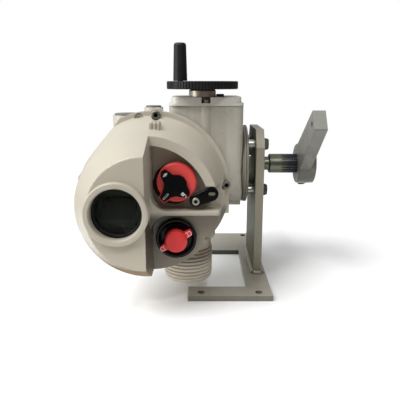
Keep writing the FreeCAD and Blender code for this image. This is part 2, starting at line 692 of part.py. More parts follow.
def make_gear_housing():
    outer = rounded(case_solid("0", "case_left_x", "flange_x", "case_top_z"), "case_corner_r", upright_edge)
    places = lid_screw_places()
    front_column = cylinder("column_r", "case_top_z - axis_z - 20",
                            ("column_x", "lid_front_y + column_r", "axis_z + 20"))
    rear_column = cylinder("column_r", "case_top_z - axis_z - 20",
                           ("column_x", "case_rear_y + 2 - column_r", "axis_z + 20"))
    seat_disc = common(cylinder("drum_r - drum_wall", "case_front_y - drum_back_y",
                                ("drum_x", "case_front_y", "drum_z"), "front"),
                       box(("case_left_x", "drum_back_y", "gear_z - gear_pocket_z"),
                           ("worm_x + gear_pocket_half", "case_front_y", "case_top_z - 20")))
    lugs = [cylinder("5.5", "18", ("flange_x - 18", y, z), "side")
            for y, z in ((22, "axis_z - case_round_r + 5"), (-22, "axis_z - case_round_r + 5"))]
    body = fuse(outer, front_column, rear_column, seat_disc, gear_pocket("0", "axis_z - 30"), *lugs)

    inner = case_solid("case_wall", "case_left_x + case_wall", "flange_x - case_wall", "case_top_z + 5")
    pocket = gear_pocket("5", "axis_z - 20")
    through = box(("worm_x - gear_way_half", "drum_back_y - 5", "gear_z - 2"),
                  ("worm_x + gear_way_half", "worm_y", "gear_z + gear_thick + 2"))
    front_hole = cylinder("front_bore_r", "case_wall + 10", ("flange_x - case_wall - 5", 0, "axis_z"),
                          "side")
    rear_hole = cylinder("rear_bore_r", "case_wall + 10", ("case_left_x - 5", 0, "axis_z"), "side")
    bottom_seat = cylinder("worm_bearing_r + 0.02", "7", ("worm_x", "worm_y", "gear_z - 11"))
    screw_holes = [cylinder("lid_screw_r + 0.1", "20", (x, y, "case_top_z - 18")) for x, y in places]
    shell = cut(body, inner, pocket, through, front_hole, rear_hole, bottom_seat, *screw_holes)
    node("gear_housing", shell)


def make_lid():
    base = "case_top_z + lid_low_thick"
    top = f"{base} + lid_high_thick"
    low = rounded(box(("case_left_x", "lid_front_y", "case_top_z"), ("flange_x", "case_rear_y + 2", base)),
                  "case_corner_r", lambda edge: upright_edge(edge, 3.0))
    high = rounded(box(("case_left_x + lid_step", "lid_front_y", base),
                       ("flange_x - lid_step", "case_rear_y + 2 - lid_step", top)),
                   "case_corner_r", lambda edge: upright_edge(edge, 3.0))
    high = rounded(high, "lid_top_rounding", lambda edge: edge.BoundBox.ZMin > amount(top) - 0.01)
    places = lid_screw_places()
    notches = [cylinder("lid_notch_r", "20", (x, y, base)) for x, y in places]
    above = "case_top_z + 30"
    left, right = "column_x - lid_notch_r", "column_x + lid_notch_r"
    near, far = "-lid_notch_r", "lid_notch_r"
    open_ways = [
        box((left, "lid_front_y - 5", base), (right, "case_front_y + lid_screw_front", above)),
        box((left, "case_rear_y - lid_screw_front", base), (right, "case_rear_y + 10", above)),
        box(("case_left_x - 5", near, base), ("case_left_x + lid_screw_side", far, above)),
        box(("flange_x - lid_screw_side", near, base), ("flange_x + 5", far, above)),
    ]
    screw_holes = [cylinder("lid_screw_r + 0.8", "28", (x, y, "case_top_z - 10")) for x, y in places]
    seat = cylinder("worm_bearing_r + 0.02", "7.5", ("worm_x", "worm_y", "case_top_z - 6"))
    bore = cylinder("9", "30", ("worm_x", "worm_y", "case_top_z - 10"))
    plug_at = ("oil_plug_x", "worm_y + 6")
    plug_hole = cylinder("oil_thread_r + 0.1", "30", (*plug_at, "case_top_z - 5"))
    ring_r = "(worm_bearing_r + 4)"
    bearing_ring = common(cylinder(ring_r, "6", ("worm_x", "worm_y", "case_top_z - 6")),
                          box((f"worm_x - {ring_r}", "case_front_y + case_wall + gap", "case_top_z - 6"),
                              (f"worm_x + {ring_r}", f"worm_y + {ring_r}", "case_top_z")))
    shell = cut(fuse(low, high, bearing_ring), *notches, *open_ways, *screw_holes, seat, bore, plug_hole)
    node("housing_lid", shell)
    screws = [socket_screw("lid_screw_head_r", "5", "lid_screw_r", "18", (x, y, base), "up")
              for x, y in places]
    node("lid_screws", group(*screws))
    node("oil_plug", socket_screw("oil_plug_r", "3.6", "oil_thread_r", "11", (*plug_at, top), "up"))


def make_handwheel_boss():
    base = "case_top_z + lid_low_thick + lid_high_thick"
    height = "handwheel_z - case_top_z - lid_low_thick - lid_high_thick"
    boss = turned([("boss_bore_r", 0), ("boss_r", 0), ("boss_r", f"{height} - 2.4"),
                   ("boss_r - 1.6", f"{height} - 0.4"), ("boss_bore_r", f"{height} - 0.4")],
                  ("worm_x", "worm_y", base))
    node("handwheel_boss", boss)
    seal = turned([("worm_shaft_r + 0.3", 1), ("boss_bore_r - 0.1", 1), ("boss_bore_r - 0.1", 8),
                   ("boss_bore_r - 2", 8), ("boss_bore_r - 3.5", 4), ("worm_shaft_r + 0.3", 4)],
                  ("worm_x", "worm_y", base))
    node("boss_seal", seal)


def make_output_end():
    flange = turned([
        ("shaft_collar_r + 2.5", 0), ("flange_r - 5", 0), ("flange_r - 0.5", 3.4), ("flange_r - 0.5", 5.2),
        ("flange_r - 1.8", 5.6), ("flange_r - 1.8", 6.3), ("flange_r", 6.7),
        ("flange_r", "flange_thick - 0.8"),
        ("flange_r - 0.8", "flange_thick"), ("shaft_collar_r + 2.5", "flange_thick"),
    ], ("flange_x", 0, "axis_z"), "side")
    holes = [cylinder("flange_thread_r", "flange_thick + 2", ("flange_x - 1", y, z), "side")
             for y, z in flange_corners()]
    node("output_flange", cut(flange, *holes))
    rear_cap = turned([
        (0, 0), ("rear_cap_r", 0), ("rear_cap_r", -4), ("rear_cap_r - 3", -6), (0, -6),
    ], ("case_left_x", 0, "axis_z"), "side")
    node("rear_cap", rear_cap)
    seal = turned([("shaft_neck_r + 0.3", 1), ("shaft_collar_r + 2.4", 1), ("shaft_collar_r + 2.4", 8),
                   ("shaft_neck_r + 3", 8), ("shaft_neck_r + 2", 5), ("shaft_neck_r + 0.3", 5)],
                  ("flange_x", 0, "axis_z"), "side")
    node("output_seal", seal)


# ---------------------------------------------------------------- output shaft and lever

def make_output_shaft():
    front = "flange_x - case_wall"
    points = [
        (0, "case_left_x + 2"), ("shaft_journal_r", "case_left_x + 2"),
        ("shaft_journal_r", "case_left_x + case_wall + 14"),
        ("shaft_seat_r", "case_left_x + case_wall + 14"),
        ("shaft_seat_r", "worm_x + wheel_thick / 2 + 4"),
        ("front_seat_r", "worm_x + wheel_thick / 2 + 4"),
        ("front_seat_r", f"{front} + 0.5"), ("shaft_neck_r + 1", f"{front} + 0.5"),
        ("shaft_neck_r + 1", "flange_x"), ("shaft_neck_r", "flange_x"),
        ("shaft_neck_r", "collar_x - 1"), ("shaft_collar_r - 1", "collar_x - 1"),
        ("shaft_collar_r", "collar_x"), ("shaft_collar_r", "lever_x + lever_hub_thick - 1.5"),
        ("shaft_collar_r - 1.5", "lever_x + lever_hub_thick"), (0, "lever_x + lever_hub_thick"),
    ]
    body = turned(points, (0, 0, "axis_z"), "side")
    groove = [
        ("shaft_collar_r - spline_depth", -0.55), ("shaft_collar_r + 1", -1.35),
        ("shaft_collar_r + 1", 1.35), ("shaft_collar_r - spline_depth", 0.55),
    ]
    spline_length = "lever_x + lever_hub_thick - spline_x + 5"
    shaft = grooves_round(body, groove, spline_length, "spline_count", "spline_x")
    seat_top = "axis_z + shaft_seat_r"
    keyway = box(("worm_x - 8", "-key_half", f"{seat_top} - 3.5"),
                 ("worm_x + 8", "key_half", f"{seat_top} + 5"))
    node("output_shaft", cut(shaft, keyway))
    node("wheel_key", box(("worm_x - 7.9", "0.05 - key_half", f"{seat_top} - 3.4"),
                          ("worm_x + 7.9", "key_half - 0.05", f"{seat_top} + 2.4")))


def make_worm_wheel():
    """Bronze wheel whose tooth gaps lean with the worm's thread."""
    body = new_body(("worm_x - wheel_thick / 2", 0, "axis_z"), "side")
    blank = sketch_on(body, "XY_Plane", "blank")
    add_circle(blank, 0, 0, "wheel_tip_r")
    pad = body.newObject("PartDesign::Pad", "pad")
    pad.Profile = blank
    bind(pad, Length="wheel_thick")
    gap_points = [
        ("wheel_root_r", "-wheel_root_half"), ("wheel_tip_r + 0.8", "-wheel_tip_half - 0.29"),
        ("wheel_tip_r + 0.8", "wheel_tip_half + 0.29"), ("wheel_root_r", "wheel_root_half"),
    ]
    ends = []
    for name, height, side in (("gap_near", 0.0, -1), ("gap_far", amount("wheel_thick"), 1)):
        sketch = sketch_on(body, "XY_Plane", name)
        lean = Rotation(Vector(0, 0, 1), side * amount("wheel_twist"))
        sketch.AttachmentOffset = Placement(Vector(0, 0, height), lean)
        add_outline(sketch, gap_points)
        ends.append(sketch)
    gap = body.newObject("PartDesign::SubtractiveLoft", "tooth_gap")
    gap.Profile = ends[0]
    gap.Sections = [ends[1]]
    gap.Ruled = True
    repeat_round(body, gap, blank, "wheel_teeth")
    hub = cylinder("wheel_hub_r", "wheel_thick + 7.6", ("worm_x - wheel_thick / 2 - 4", 0, "axis_z"), "side")
    bore = cylinder("shaft_seat_r + 0.02", "wheel_thick + 20", ("worm_x - wheel_thick", 0, "axis_z"), "side")
    keyway = box(("worm_x - 30", "-key_half", "axis_z"),
                 ("worm_x + 20", "key_half", "axis_z + shaft_seat_r + 2.5"))
    node("worm_wheel", cut(fuse(body, hub), bore, keyway))


def make_output_bearings():
    front_at = ("flange_x - 9.6", 0, "axis_z")
    front = ball_bearing("front_seat_r + 0.05", "front_bore_r - 0.1", 9, 12, front_at, "side")
    node("output_bearing_front", front)
    rear_at = ("case_left_x + 0.2", 0, "axis_z")
    rear = ball_bearing("shaft_journal_r + 0.05", "rear_bore_r - 0.1", 8, 9, rear_at, "side")
    node("output_bearing_rear", rear)


def make_lever():
    turn = amount("lever_angle")
    place_at = ("lever_x", 0, "axis_z")
    arm = plate([
        ("0", "-lever_root_half"), ("lever_length - 1.5", "-lever_tip_half - 0.2"),
        ("lever_length", "-lever_tip_half + 1.5"), ("lever_length", "lever_tip_half - 1.5"),
        ("lever_length - 1.5", "lever_tip_half + 0.2"), ("0", "lever_root_half"),
    ], "lever_thick", place_at, "side", turn, holes=[("lever_pin_at", 0, "lever_pin_r")])
    hub = turned([
        (0, 0), ("lever_hub_r - 1.2", 0), ("lever_hub_r", 1.2), ("lever_hub_r", "lever_hub_thick - 1.2"),
        ("lever_hub_r - 1.2", "lever_hub_thick"), (0, "lever_hub_thick"),
    ], place_at, "side")
    bore = cylinder("shaft_collar_r + 0.05", "lever_hub_thick + 2", ("lever_x - 1", 0, "axis_z"), "side")
    slot = plate([("-lever_hub_r - 5", "-clamp_slot_half"), (0, "-clamp_slot_half"), (0, "clamp_slot_half"),
                  ("-lever_hub_r - 5", "clamp_slot_half")],
                 "lever_hub_thick + 2", ("lever_x - 1", 0, "axis_z"), "side", turn)
    local = FACING["side"].multiply(Rotation(Vector(0, 0, 1), turn))
    centre = Vector(0, 0, amount("axis_z")) + local.multVec(Vector(amount("clamp_at"), 0, 0))
    centre.x = amount("lever_x + lever_hub_thick / 2") - 1.5
    across = local.multVec(Vector(0, -1, 0))
    upward = Rotation(Vector(0, 0, 1), across)

    def clamp_cylinder(kind, radius, start, length):
        obj = doc.addObject(kind, "clamp")
        if kind == "Part::Prism":
            obj.Polygon = 6
            bind(obj, Circumradius=radius, Height=length)
        else:
            bind(obj, Radius=radius, Height=length)
        obj.Placement = Placement(centre + across * start, upward)
        return obj

    seat = amount("clamp_seat")
    reach = 14.0
    hole = clamp_cylinder("Part::Cylinder", "clamp_r + 0.3", -seat - reach, 2 * (seat + reach))
    seats = [clamp_cylinder("Part::Cylinder", "clamp_seat_r", start, reach)
             for start in (seat, -seat - reach)]
    node("lever_arm", cut(fuse(arm, hub), bore, slot, hole, *seats))
    shank = clamp_cylinder("Part::Cylinder", "clamp_r", -seat, 2 * seat + 9)
    head = clamp_cylinder("Part::Prism", "clamp_hex_r", -seat - 6.4, 6.4)
    node("lever_clamp_bolt", fuse(shank, head))
    nut = clamp_cylinder("Part::Prism", "clamp_hex_r", seat, 6.5)
    nut_hole = clamp_cylinder("Part::Cylinder", "clamp_r + 0.02", seat - 1, 9)
    node("lever_clamp_nut", cut(nut, nut_hole))


# ---------------------------------------------------------------- worm shaft, gears and handwheel

def make_worm_shaft():
    """Worm in one piece with its shaft; the thread is a right-hand helix."""
    low = "gear_z - 11"
    core_low = "axis_z - worm_turns / 2 * worm_pitch - 5"
    core_high = "axis_z + worm_turns / 2 * worm_pitch + 5"
    body = turned([
        (0, low), ("worm_shaft_r", low), ("worm_shaft_r", "gear_z - 3"), ("worm_seat_r + 2", "gear_z - 3"),
        ("worm_seat_r + 2", "gear_z - 0.5"), ("worm_seat_r", "gear_z - 0.5"), ("worm_seat_r", core_low),
        ("worm_core_r", core_low), ("worm_core_r", core_high), ("worm_seat_r", core_high),
        ("worm_seat_r", "case_top_z - 6"), ("worm_shaft_r", "case_top_z - 6"),
        ("worm_shaft_r", "handwheel_z + handwheel_thick - cap_recess + 3"),
        (0, "handwheel_z + handwheel_thick - cap_recess + 3"),
    ], ("worm_x", "worm_y", 0))
    doc.recompute()
    smooth_volume = body.Shape.Volume
    sketch = sketch_on(body, "XZ_Plane", "thread_profile")
    start = "axis_z - worm_pitch / 4 - worm_pitch * worm_turns / 2"
    add_outline(sketch, [
        ("worm_core_r - 0.4", f"{start} - worm_root_half - 0.14"),
        ("worm_tip_r", f"{start} - worm_tip_half"),
        ("worm_tip_r", f"{start} + worm_tip_half"),
        ("worm_core_r - 0.4", f"{start} + worm_root_half + 0.14"),
    ])
    thread = body.newObject("PartDesign::AdditiveHelix", "thread")
    thread.Profile = sketch
    thread.ReferenceAxis = (sketch, ["V_Axis"])
    thread.Mode = 0
    bind(thread, Pitch="worm_pitch", Height="worm_pitch * worm_turns")
    doc.recompute()
    if body.Shape.Volume < smooth_volume + 100.0:
        raise RuntimeError("the worm has no thread")
    node("worm_shaft", body)


def spur_gear(teeth, bore, at):
    """Spur gear with straight-flanked gaps close to the involute form."""
    body = disc(f"gear_module * ({teeth} / 2 + 0.96)", "gear_thick", at)
    pitch_r = f"gear_module * {teeth} / 2"
    half = "(gear_module * 3.14159 / 4 + gear_slack)"
    gap = [
        (f"{pitch_r} - 1.25 * gear_module", f"-{half} + 0.42 * gear_module"),
        (f"{pitch_r} + 1.3 * gear_module", f"-{half} - 0.47 * gear_module"),
        (f"{pitch_r} + 1.3 * gear_module", f"{half} + 0.47 * gear_module"),
        (f"{pitch_r} - 1.25 * gear_module", f"{half} - 0.42 * gear_module"),
    ]
    grooves_round(body, gap, "gear_thick", teeth)
    hole = cylinder(bore, "gear_thick + 2", at)
    return cut(body, hole)


def make_gears():
    dx = amount("motor_x - worm_x")
    dy = amount("motor_y - worm_y")
    line = math.degrees(math.atan2(dy, dx))
    gear = spur_gear("gear_teeth", "worm_seat_r + 0.02", ("worm_x", "worm_y", "gear_z"))
    pinion = spur_gear("pinion_teeth", "motor_shaft_r + 0.02", ("motor_x", "motor_y", "gear_z"))
    # a gap of the gear and a tooth of the pinion lie on the line between the two centres
    half_tooth = 180.0 / amount("pinion_teeth")
    for piece, angle in ((gear, line), (pinion, line + 180.0 + half_tooth)):
        for part in (piece.Base, piece.Tool):
            part.Placement = Placement(part.Placement.Base, Rotation(Vector(0, 0, 1), angle))
    node("worm_gear", gear)
    node("motor_gear", pinion)
    bearings = [ball_bearing("worm_shaft_r + 0.05", "worm_bearing_r", 6, 7, ("worm_x", "worm_y", height))
                for height in ("gear_z - 10.5", "case_top_z - 5")]
    node("worm_bearings", group(*bearings))


def make_handwheel():
    top = "handwheel_thick"
    body = turned([
        ("worm_shaft_r + 0.02", 0), ("boss_r - 2.3", 0), ("boss_r - 2.3", 1.6), ("handwheel_r - 14", 3.2),
        ("handwheel_r - 11", 0), ("handwheel_r - 1.2", 0), ("handwheel_r", 1.2),
        ("handwheel_r", f"{top} - 1.2"), ("handwheel_r - 1.2", top), ("cap_r + 0.4", top),
        ("cap_r + 0.4", f"{top} - cap_recess"), ("worm_shaft_r + 0.02", f"{top} - cap_recess"),
    ], ("worm_x", "worm_y", "handwheel_z"))
    groove = [("handwheel_r - 0.9", -0.55), ("handwheel_r + 1", -1.3), ("handwheel_r + 1", 1.3),
              ("handwheel_r - 0.9", 0.55)]
    grooves_round(body, groove, "handwheel_thick", "handwheel_ribs")
    grip_boss = cylinder("grip_foot_r + 0.3", "handwheel_thick - 0.3", ("grip_x", "grip_y", "handwheel_z"))
    axle_hole = cylinder("grip_axle_r + 0.02", "handwheel_thick + 2",
                         ("grip_x", "grip_y", "handwheel_z - 1"))
    node("handwheel", cut(fuse(body, grip_boss), axle_hole))
    cap = turned([(0, 3.8), ("cap_r - 4", 3.8), ("cap_r - 1.5", 2.6), ("cap_r", 0),
                  ("worm_shaft_r + 0.3", 0), ("worm_shaft_r + 0.3", 3.1), (0, 3.1)],
                 ("worm_x", "worm_y", "handwheel_z + handwheel_thick - cap_recess"))
    node("handwheel_cap", cap)
    foot = "handwheel_z + handwheel_thick"
    length = "grip_top_z - handwheel_z - handwheel_thick - 6"
    axle = turned([(0, "-handwheel_thick"), ("grip_axle_r", "-handwheel_thick"),
                   ("grip_axle_r", f"{length} - 4"), ("grip_axle_r + 1.5", f"{length} - 4"),
                   ("grip_axle_r + 1.5", length), (0, length)],
                  ("grip_x", "grip_y", foot))
    node("grip_axle", axle)
    height = "(grip_top_z - handwheel_z - handwheel_thick)"
    lean = "(grip_foot_r - grip_top_r)"
    grip = turned([
        ("grip_axle_r + 0.06", 0.3), ("grip_foot_r - 0.6", 0.3), ("grip_foot_r", 1.0),
        (f"grip_foot_r - {lean} * 0.5", f"{height} * 0.5"), ("grip_top_r", f"{height} - 3"),
        ("grip_top_r - 0.9", f"{height} - 0.9"), ("grip_top_r - 3", f"{height}"), (0, f"{height}"),
        (0, f"{height} - 5.7"), ("grip_axle_r + 1.8", f"{height} - 5.7"),
        ("grip_axle_r + 1.8", f"{height} - 10.3"), ("grip_axle_r + 0.06", f"{height} - 10.3"),
    ], ("grip_x", "grip_y", foot))
    node("spinner_grip", grip)


# ---------------------------------------------------------------- motor

COILS = 12
COVER_RIBS = 6
NECK_RIBS = 2


def rib_outline(centre):
    """The outer wall's points past one rounded rib, from below it to above it."""
    for out, along in ((0, -1), (0.6, -0.85), (0.95, -0.35), (0.95, 0.35), (0.6, 0.85), (0, 1)):
        yield f"motor_r + {out} * rib_r", f"{centre} + {along} * rib_r"


def make_motor():
    at = ("motor_x", "motor_y", 0)
    wall = [point for i in range(COVER_RIBS) for point in rib_outline(f"rib_z + {i} * rib_pitch")]
    shell = turned([
        (0, "motor_z"), ("motor_r - 4", "motor_z"), ("motor_r - 1", "motor_z + 1.4"),
        ("motor_r + 0.9", "motor_z + 4.6"), ("motor_r + 1.2", "motor_z + 6.6"),
        ("motor_r", "motor_z + 7.6"), *wall, ("motor_r", "motor_top_z - 0.3"),
        ("motor_bore_r", "motor_top_z - 0.3"),
        ("motor_bore_r", "motor_z + 6"), ("motor_boss_r", "motor_z + 6"), ("motor_boss_r", "motor_z + 12"),
        ("motor_bearing_r + 0.02", "motor_z + 12"), ("motor_bearing_r + 0.02", "motor_z + 5"),
        (0, "motor_z + 5"),
    ], at)
    node("motor_cover", shell)
    bearings = [ball_bearing("motor_shaft_r + 0.05", "motor_bearing_r", 5, 7, ("motor_x", "motor_y", height))
                for height in ("motor_z + 6.5", "neck_screw_z - 3.5")]
    node("motor_bearings", group(*bearings))
    shaft = turned([(0, "motor_z + 6"), ("motor_shaft_r", "motor_z + 6"),
                    ("motor_shaft_r", "gear_z + gear_thick + 4"), (0, "gear_z + gear_thick + 4")], at)
    node("motor_shaft", shaft)
    rotor = turned([("motor_shaft_r + 0.02", "motor_z + 15"), ("rotor_r", "motor_z + 15"),
                    ("rotor_r", "neck_screw_z - 9"), ("motor_shaft_r + 0.02", "neck_screw_z - 9")], at)
    node("motor_rotor", rotor)
    stator = turned([("rotor_r + 0.5", "motor_z + 15"), ("stator_r", "motor_z + 15"),
                     ("stator_r", "neck_screw_z - 10"), ("rotor_r + 0.5", "neck_screw_z - 10")], at)
    coil_places = [(f"motor_x + {x}", f"motor_y + {y}", "motor_z + 13")
                   for x, y in around(COILS, amount("coil_circle_r"))]
    slots = [cylinder("coil_slot_r", "50", spot) for spot in coil_places]
    coils = [cylinder("coil_r", "neck_screw_z - motor_z - 21", spot) for spot in coil_places]
    node("motor_stator", group(cut(stator, *slots), *coils))
    low = "neck_screw_z - 4"
    bore = "motor_bearing_r + 0.02"
    end_plate = turned([(bore, low), ("motor_bore_r - 0.1", low), ("motor_bore_r - 0.1", f"{low} + 8"),
                        ("motor_shaft_r + 2", f"{low} + 8"), ("motor_shaft_r + 2", f"{low} + 6"),
                        (bore, f"{low} + 6")], at)
    node("motor_end_plate", cut(end_plate, *neck_pins("neck_screw_r + 0.05")))
    node("motor_screws", group(*neck_pins("neck_screw_r")))


def neck_pins(radius):
    """Radial pins through the neck into the motor's end plate."""
    pins = []
    for x, y in around(4, 1.0, -62.0):
        outward = Vector(x, y, 0)
        pin = doc.addObject("Part::Cylinder", "neck_pin")
        bind(pin, Radius=radius, Height="motor_r - neck_screw_at + 0.4")
        centre = Vector(amount("motor_x"), amount("motor_y"), amount("neck_screw_z"))
        inner_end = centre + outward * amount("neck_screw_at")
        pin.Placement = Placement(inner_end, Rotation(Vector(0, 0, 1), outward))
        pins.append(pin)
    return pins


# ---------------------------------------------------------------- control housing

FRONT_SCREW_ANGLES = (87.0, 3.0, -40.0)
REAR_SCREW_ANGLES = (-100.0, 215.0)


def screw_places(angles=FRONT_SCREW_ANGLES + REAR_SCREW_ANGLES):
    """Cover screw positions round the drum axis, as (x, z) expressions."""
    for angle in angles:
        yield (f"drum_x + screw_circle_r * cos({angle} * 1 deg)",
               f"drum_z + screw_circle_r * sin({angle} * 1 deg)")


def chord_tool(inset):
    """Everything beyond the drum's flat, as a block turned to its direction."""
    block = doc.addObject("Part::Box", "chord")
    bind(block, Length=60, Width=260, Height=200)
    angle = amount("chord_angle")
    turn = Rotation(Vector(0, 1, 0), -angle)
    reach = amount("chord_at") - inset
    corner = Vector(amount("drum_x"), -210.0, amount("drum_z")) + turn.multVec(Vector(reach, 0, -100.0))
    block.Placement = Placement(corner, turn)
    return block


def make_control_housing():
    depth = "drum_back_y - drum_front_y"
    tube = cylinder("drum_r", depth, ("drum_x", "drum_back_y", "drum_z"), "front")
    tube = rounded(tube, "6", lambda edge: edge.BoundBox.YMin > amount("drum_back_y") - 0.01)
    rim = cylinder("drum_rim_r", "drum_rim_depth", ("drum_x", "drum_front_y + drum_rim_depth", "drum_z"),
                   "front")
    big = cylinder("entry_big_r", "entry_big_z - drum_z", ("entry_big_x", "entry_big_y", "drum_z"))
    small = cylinder("entry_small_r", "entry_small_z - drum_z", ("entry_small_x", "entry_small_y", "drum_z"))
    lugs = [cylinder("screw_lug_r", "24", (x, "drum_front_y + 24", z), "front") for x, z in screw_places()]
    neck = cylinder("motor_r", "drum_z - 20 - motor_top_z", ("motor_x", "motor_y", "motor_top_z"))
    neck_ribs = []
    for i in range(COVER_RIBS, COVER_RIBS + NECK_RIBS):
        centre = f"rib_z + {i} * rib_pitch"
        profile = [("motor_r - 2", f"{centre} - rib_r"), *rib_outline(centre),
                   ("motor_r - 2", f"{centre} + rib_r")]
        neck_ribs.append(turned(profile, ("motor_x", "motor_y", 0)))
    before_front = box((-150, -200, 0), (0, "drum_front_y", "drum_z"))
    behind_back = box((-150, "drum_back_y", "drum_z - 62"), (0, 0, "drum_z"))
    neck = cut(fuse(neck, *neck_ribs), before_front, behind_back)
    outer = fuse(cut(fuse(tube, rim), chord_tool(0.0)), big, small, neck, *lugs)

    inside_r = "drum_r - drum_wall"
    cavity = cylinder(inside_r, "drum_back_y - drum_front_y - drum_wall + 5",
                      ("drum_x", "drum_back_y - drum_wall", "drum_z"), "front")
    cavity = cut(cavity, chord_tool(amount("drum_wall")))
    screw_posts = [cylinder("screw_lug_r", "drum_back_y - drum_front_y", (x, "drum_back_y", z), "front")
                   for x, z in screw_places()]
    cavity = cut(cavity, *screw_posts)
    neck_bore = cylinder("motor_bore_r", "60", ("motor_x", "motor_y", "motor_top_z - 1"))
    gear_slot = box(("worm_x - gear_way_half", "worm_y - gear_way_half", "gear_z - 2"),
                    ("worm_x + gear_way_half", "drum_back_y + 5", "gear_z + gear_thick + 2"))
    big_bore = cylinder("entry_big_bore", "120", ("entry_big_x", "entry_big_y", "drum_z"))
    small_bore = cylinder("entry_small_bore", "120", ("entry_small_x", "entry_small_y", "drum_z"))
    screw_holes = [cylinder("screw_r + 0.05", "30", (x, "drum_front_y + 25", z), "front")
                   for x, z in screw_places()]
    head_pockets = [cylinder("screw_head_r + 0.8", "drum_back_y - drum_front_y - 23",
                             (x, "drum_back_y + 1", z), "front") for x, z in screw_places(REAR_SCREW_ANGLES)]
    spot_faces = [cylinder(f"{prefix}_r - 2.2", "20", (f"{prefix}_x", f"{prefix}_y", f"{prefix}_z"))
                  for prefix in ("entry_big", "entry_small")]
    shell = cut(outer, cavity, neck_bore, gear_slot, big_bore, small_bore, *screw_holes, *head_pockets,
                *spot_faces, *neck_pins("neck_screw_r + 0.05"))
    node("control_housing", shell)


def make_entry_plugs():
    plugs = []
    for prefix in ("entry_big", "entry_small"):
        bore = f"{prefix}_bore"
        plug = turned([
            (0, -14), (f"{bore} - 0.05", -14), (f"{bore} - 0.05", 0), (f"{prefix}_r - 2.4", 0),
            (f"{prefix}_r - 2.4", 1.6), (f"{prefix}_r - 3.4", 2.4), (0, 2.4),
        ], (f"{prefix}_x", f"{prefix}_y", f"{prefix}_z"))
        key = box((f"{prefix}_x - {bore} * 0.6", f"{prefix}_y - entry_key_half", f"{prefix}_z + 1"),
                  (f"{prefix}_x + {bore} * 0.6", f"{prefix}_y + entry_key_half", f"{prefix}_z + 5"))
        plugs.append(cut(plug, key))
    node("entry_plugs", group(*plugs))


# ---------------------------------------------------------------- front cover

def circle(radius, at):
    obj = doc.addObject("Part::Circle", "circle")
    bind(obj, Radius=radius)
    return place(obj, at, "front")


def oblique(first, second):
    """A slanting round shell between two circles, each (radius, (x, y, z))."""
    obj = doc.addObject("Part::Loft", "oblique")
    obj.Sections = [circle(*first), circle(*second)]
    obj.Solid = True
    obj.Ruled = True
    return obj


def slanted_block(front_y, back_y, low_z, high_z):
    """Everything to the right of the raised half's leaning side wall, between two depths."""
    slope = "(cover_edge_lean / (cover_face_y - upper_floor_y))"
    front_x = f"cover_edge_x + {slope} * (cover_face_y - ({front_y}))"
    back_x = f"cover_edge_x + {slope} * (cover_face_y - ({back_y}))"
    obj = doc.addObject("Part::Wedge", "slanted")
    bind(obj, Xmin=front_x, X2min=back_x, Xmax=40, X2max=40, Ymin=front_y, Ymax=back_y,
         Zmin=low_z, Z2min=low_z, Zmax=high_z, Z2max=high_z)
    return obj


def is_depth_edge(edge, z_level):
    """True for the pocket tool's edge that runs front to back at the given height, at the wall."""
    low = edge.BoundBox
    return (abs(low.ZMin - z_level) < 0.1 and abs(low.ZMax - z_level) < 0.1
            and low.YLength > 5 and low.XMax < amount("cover_edge_x") + 30)


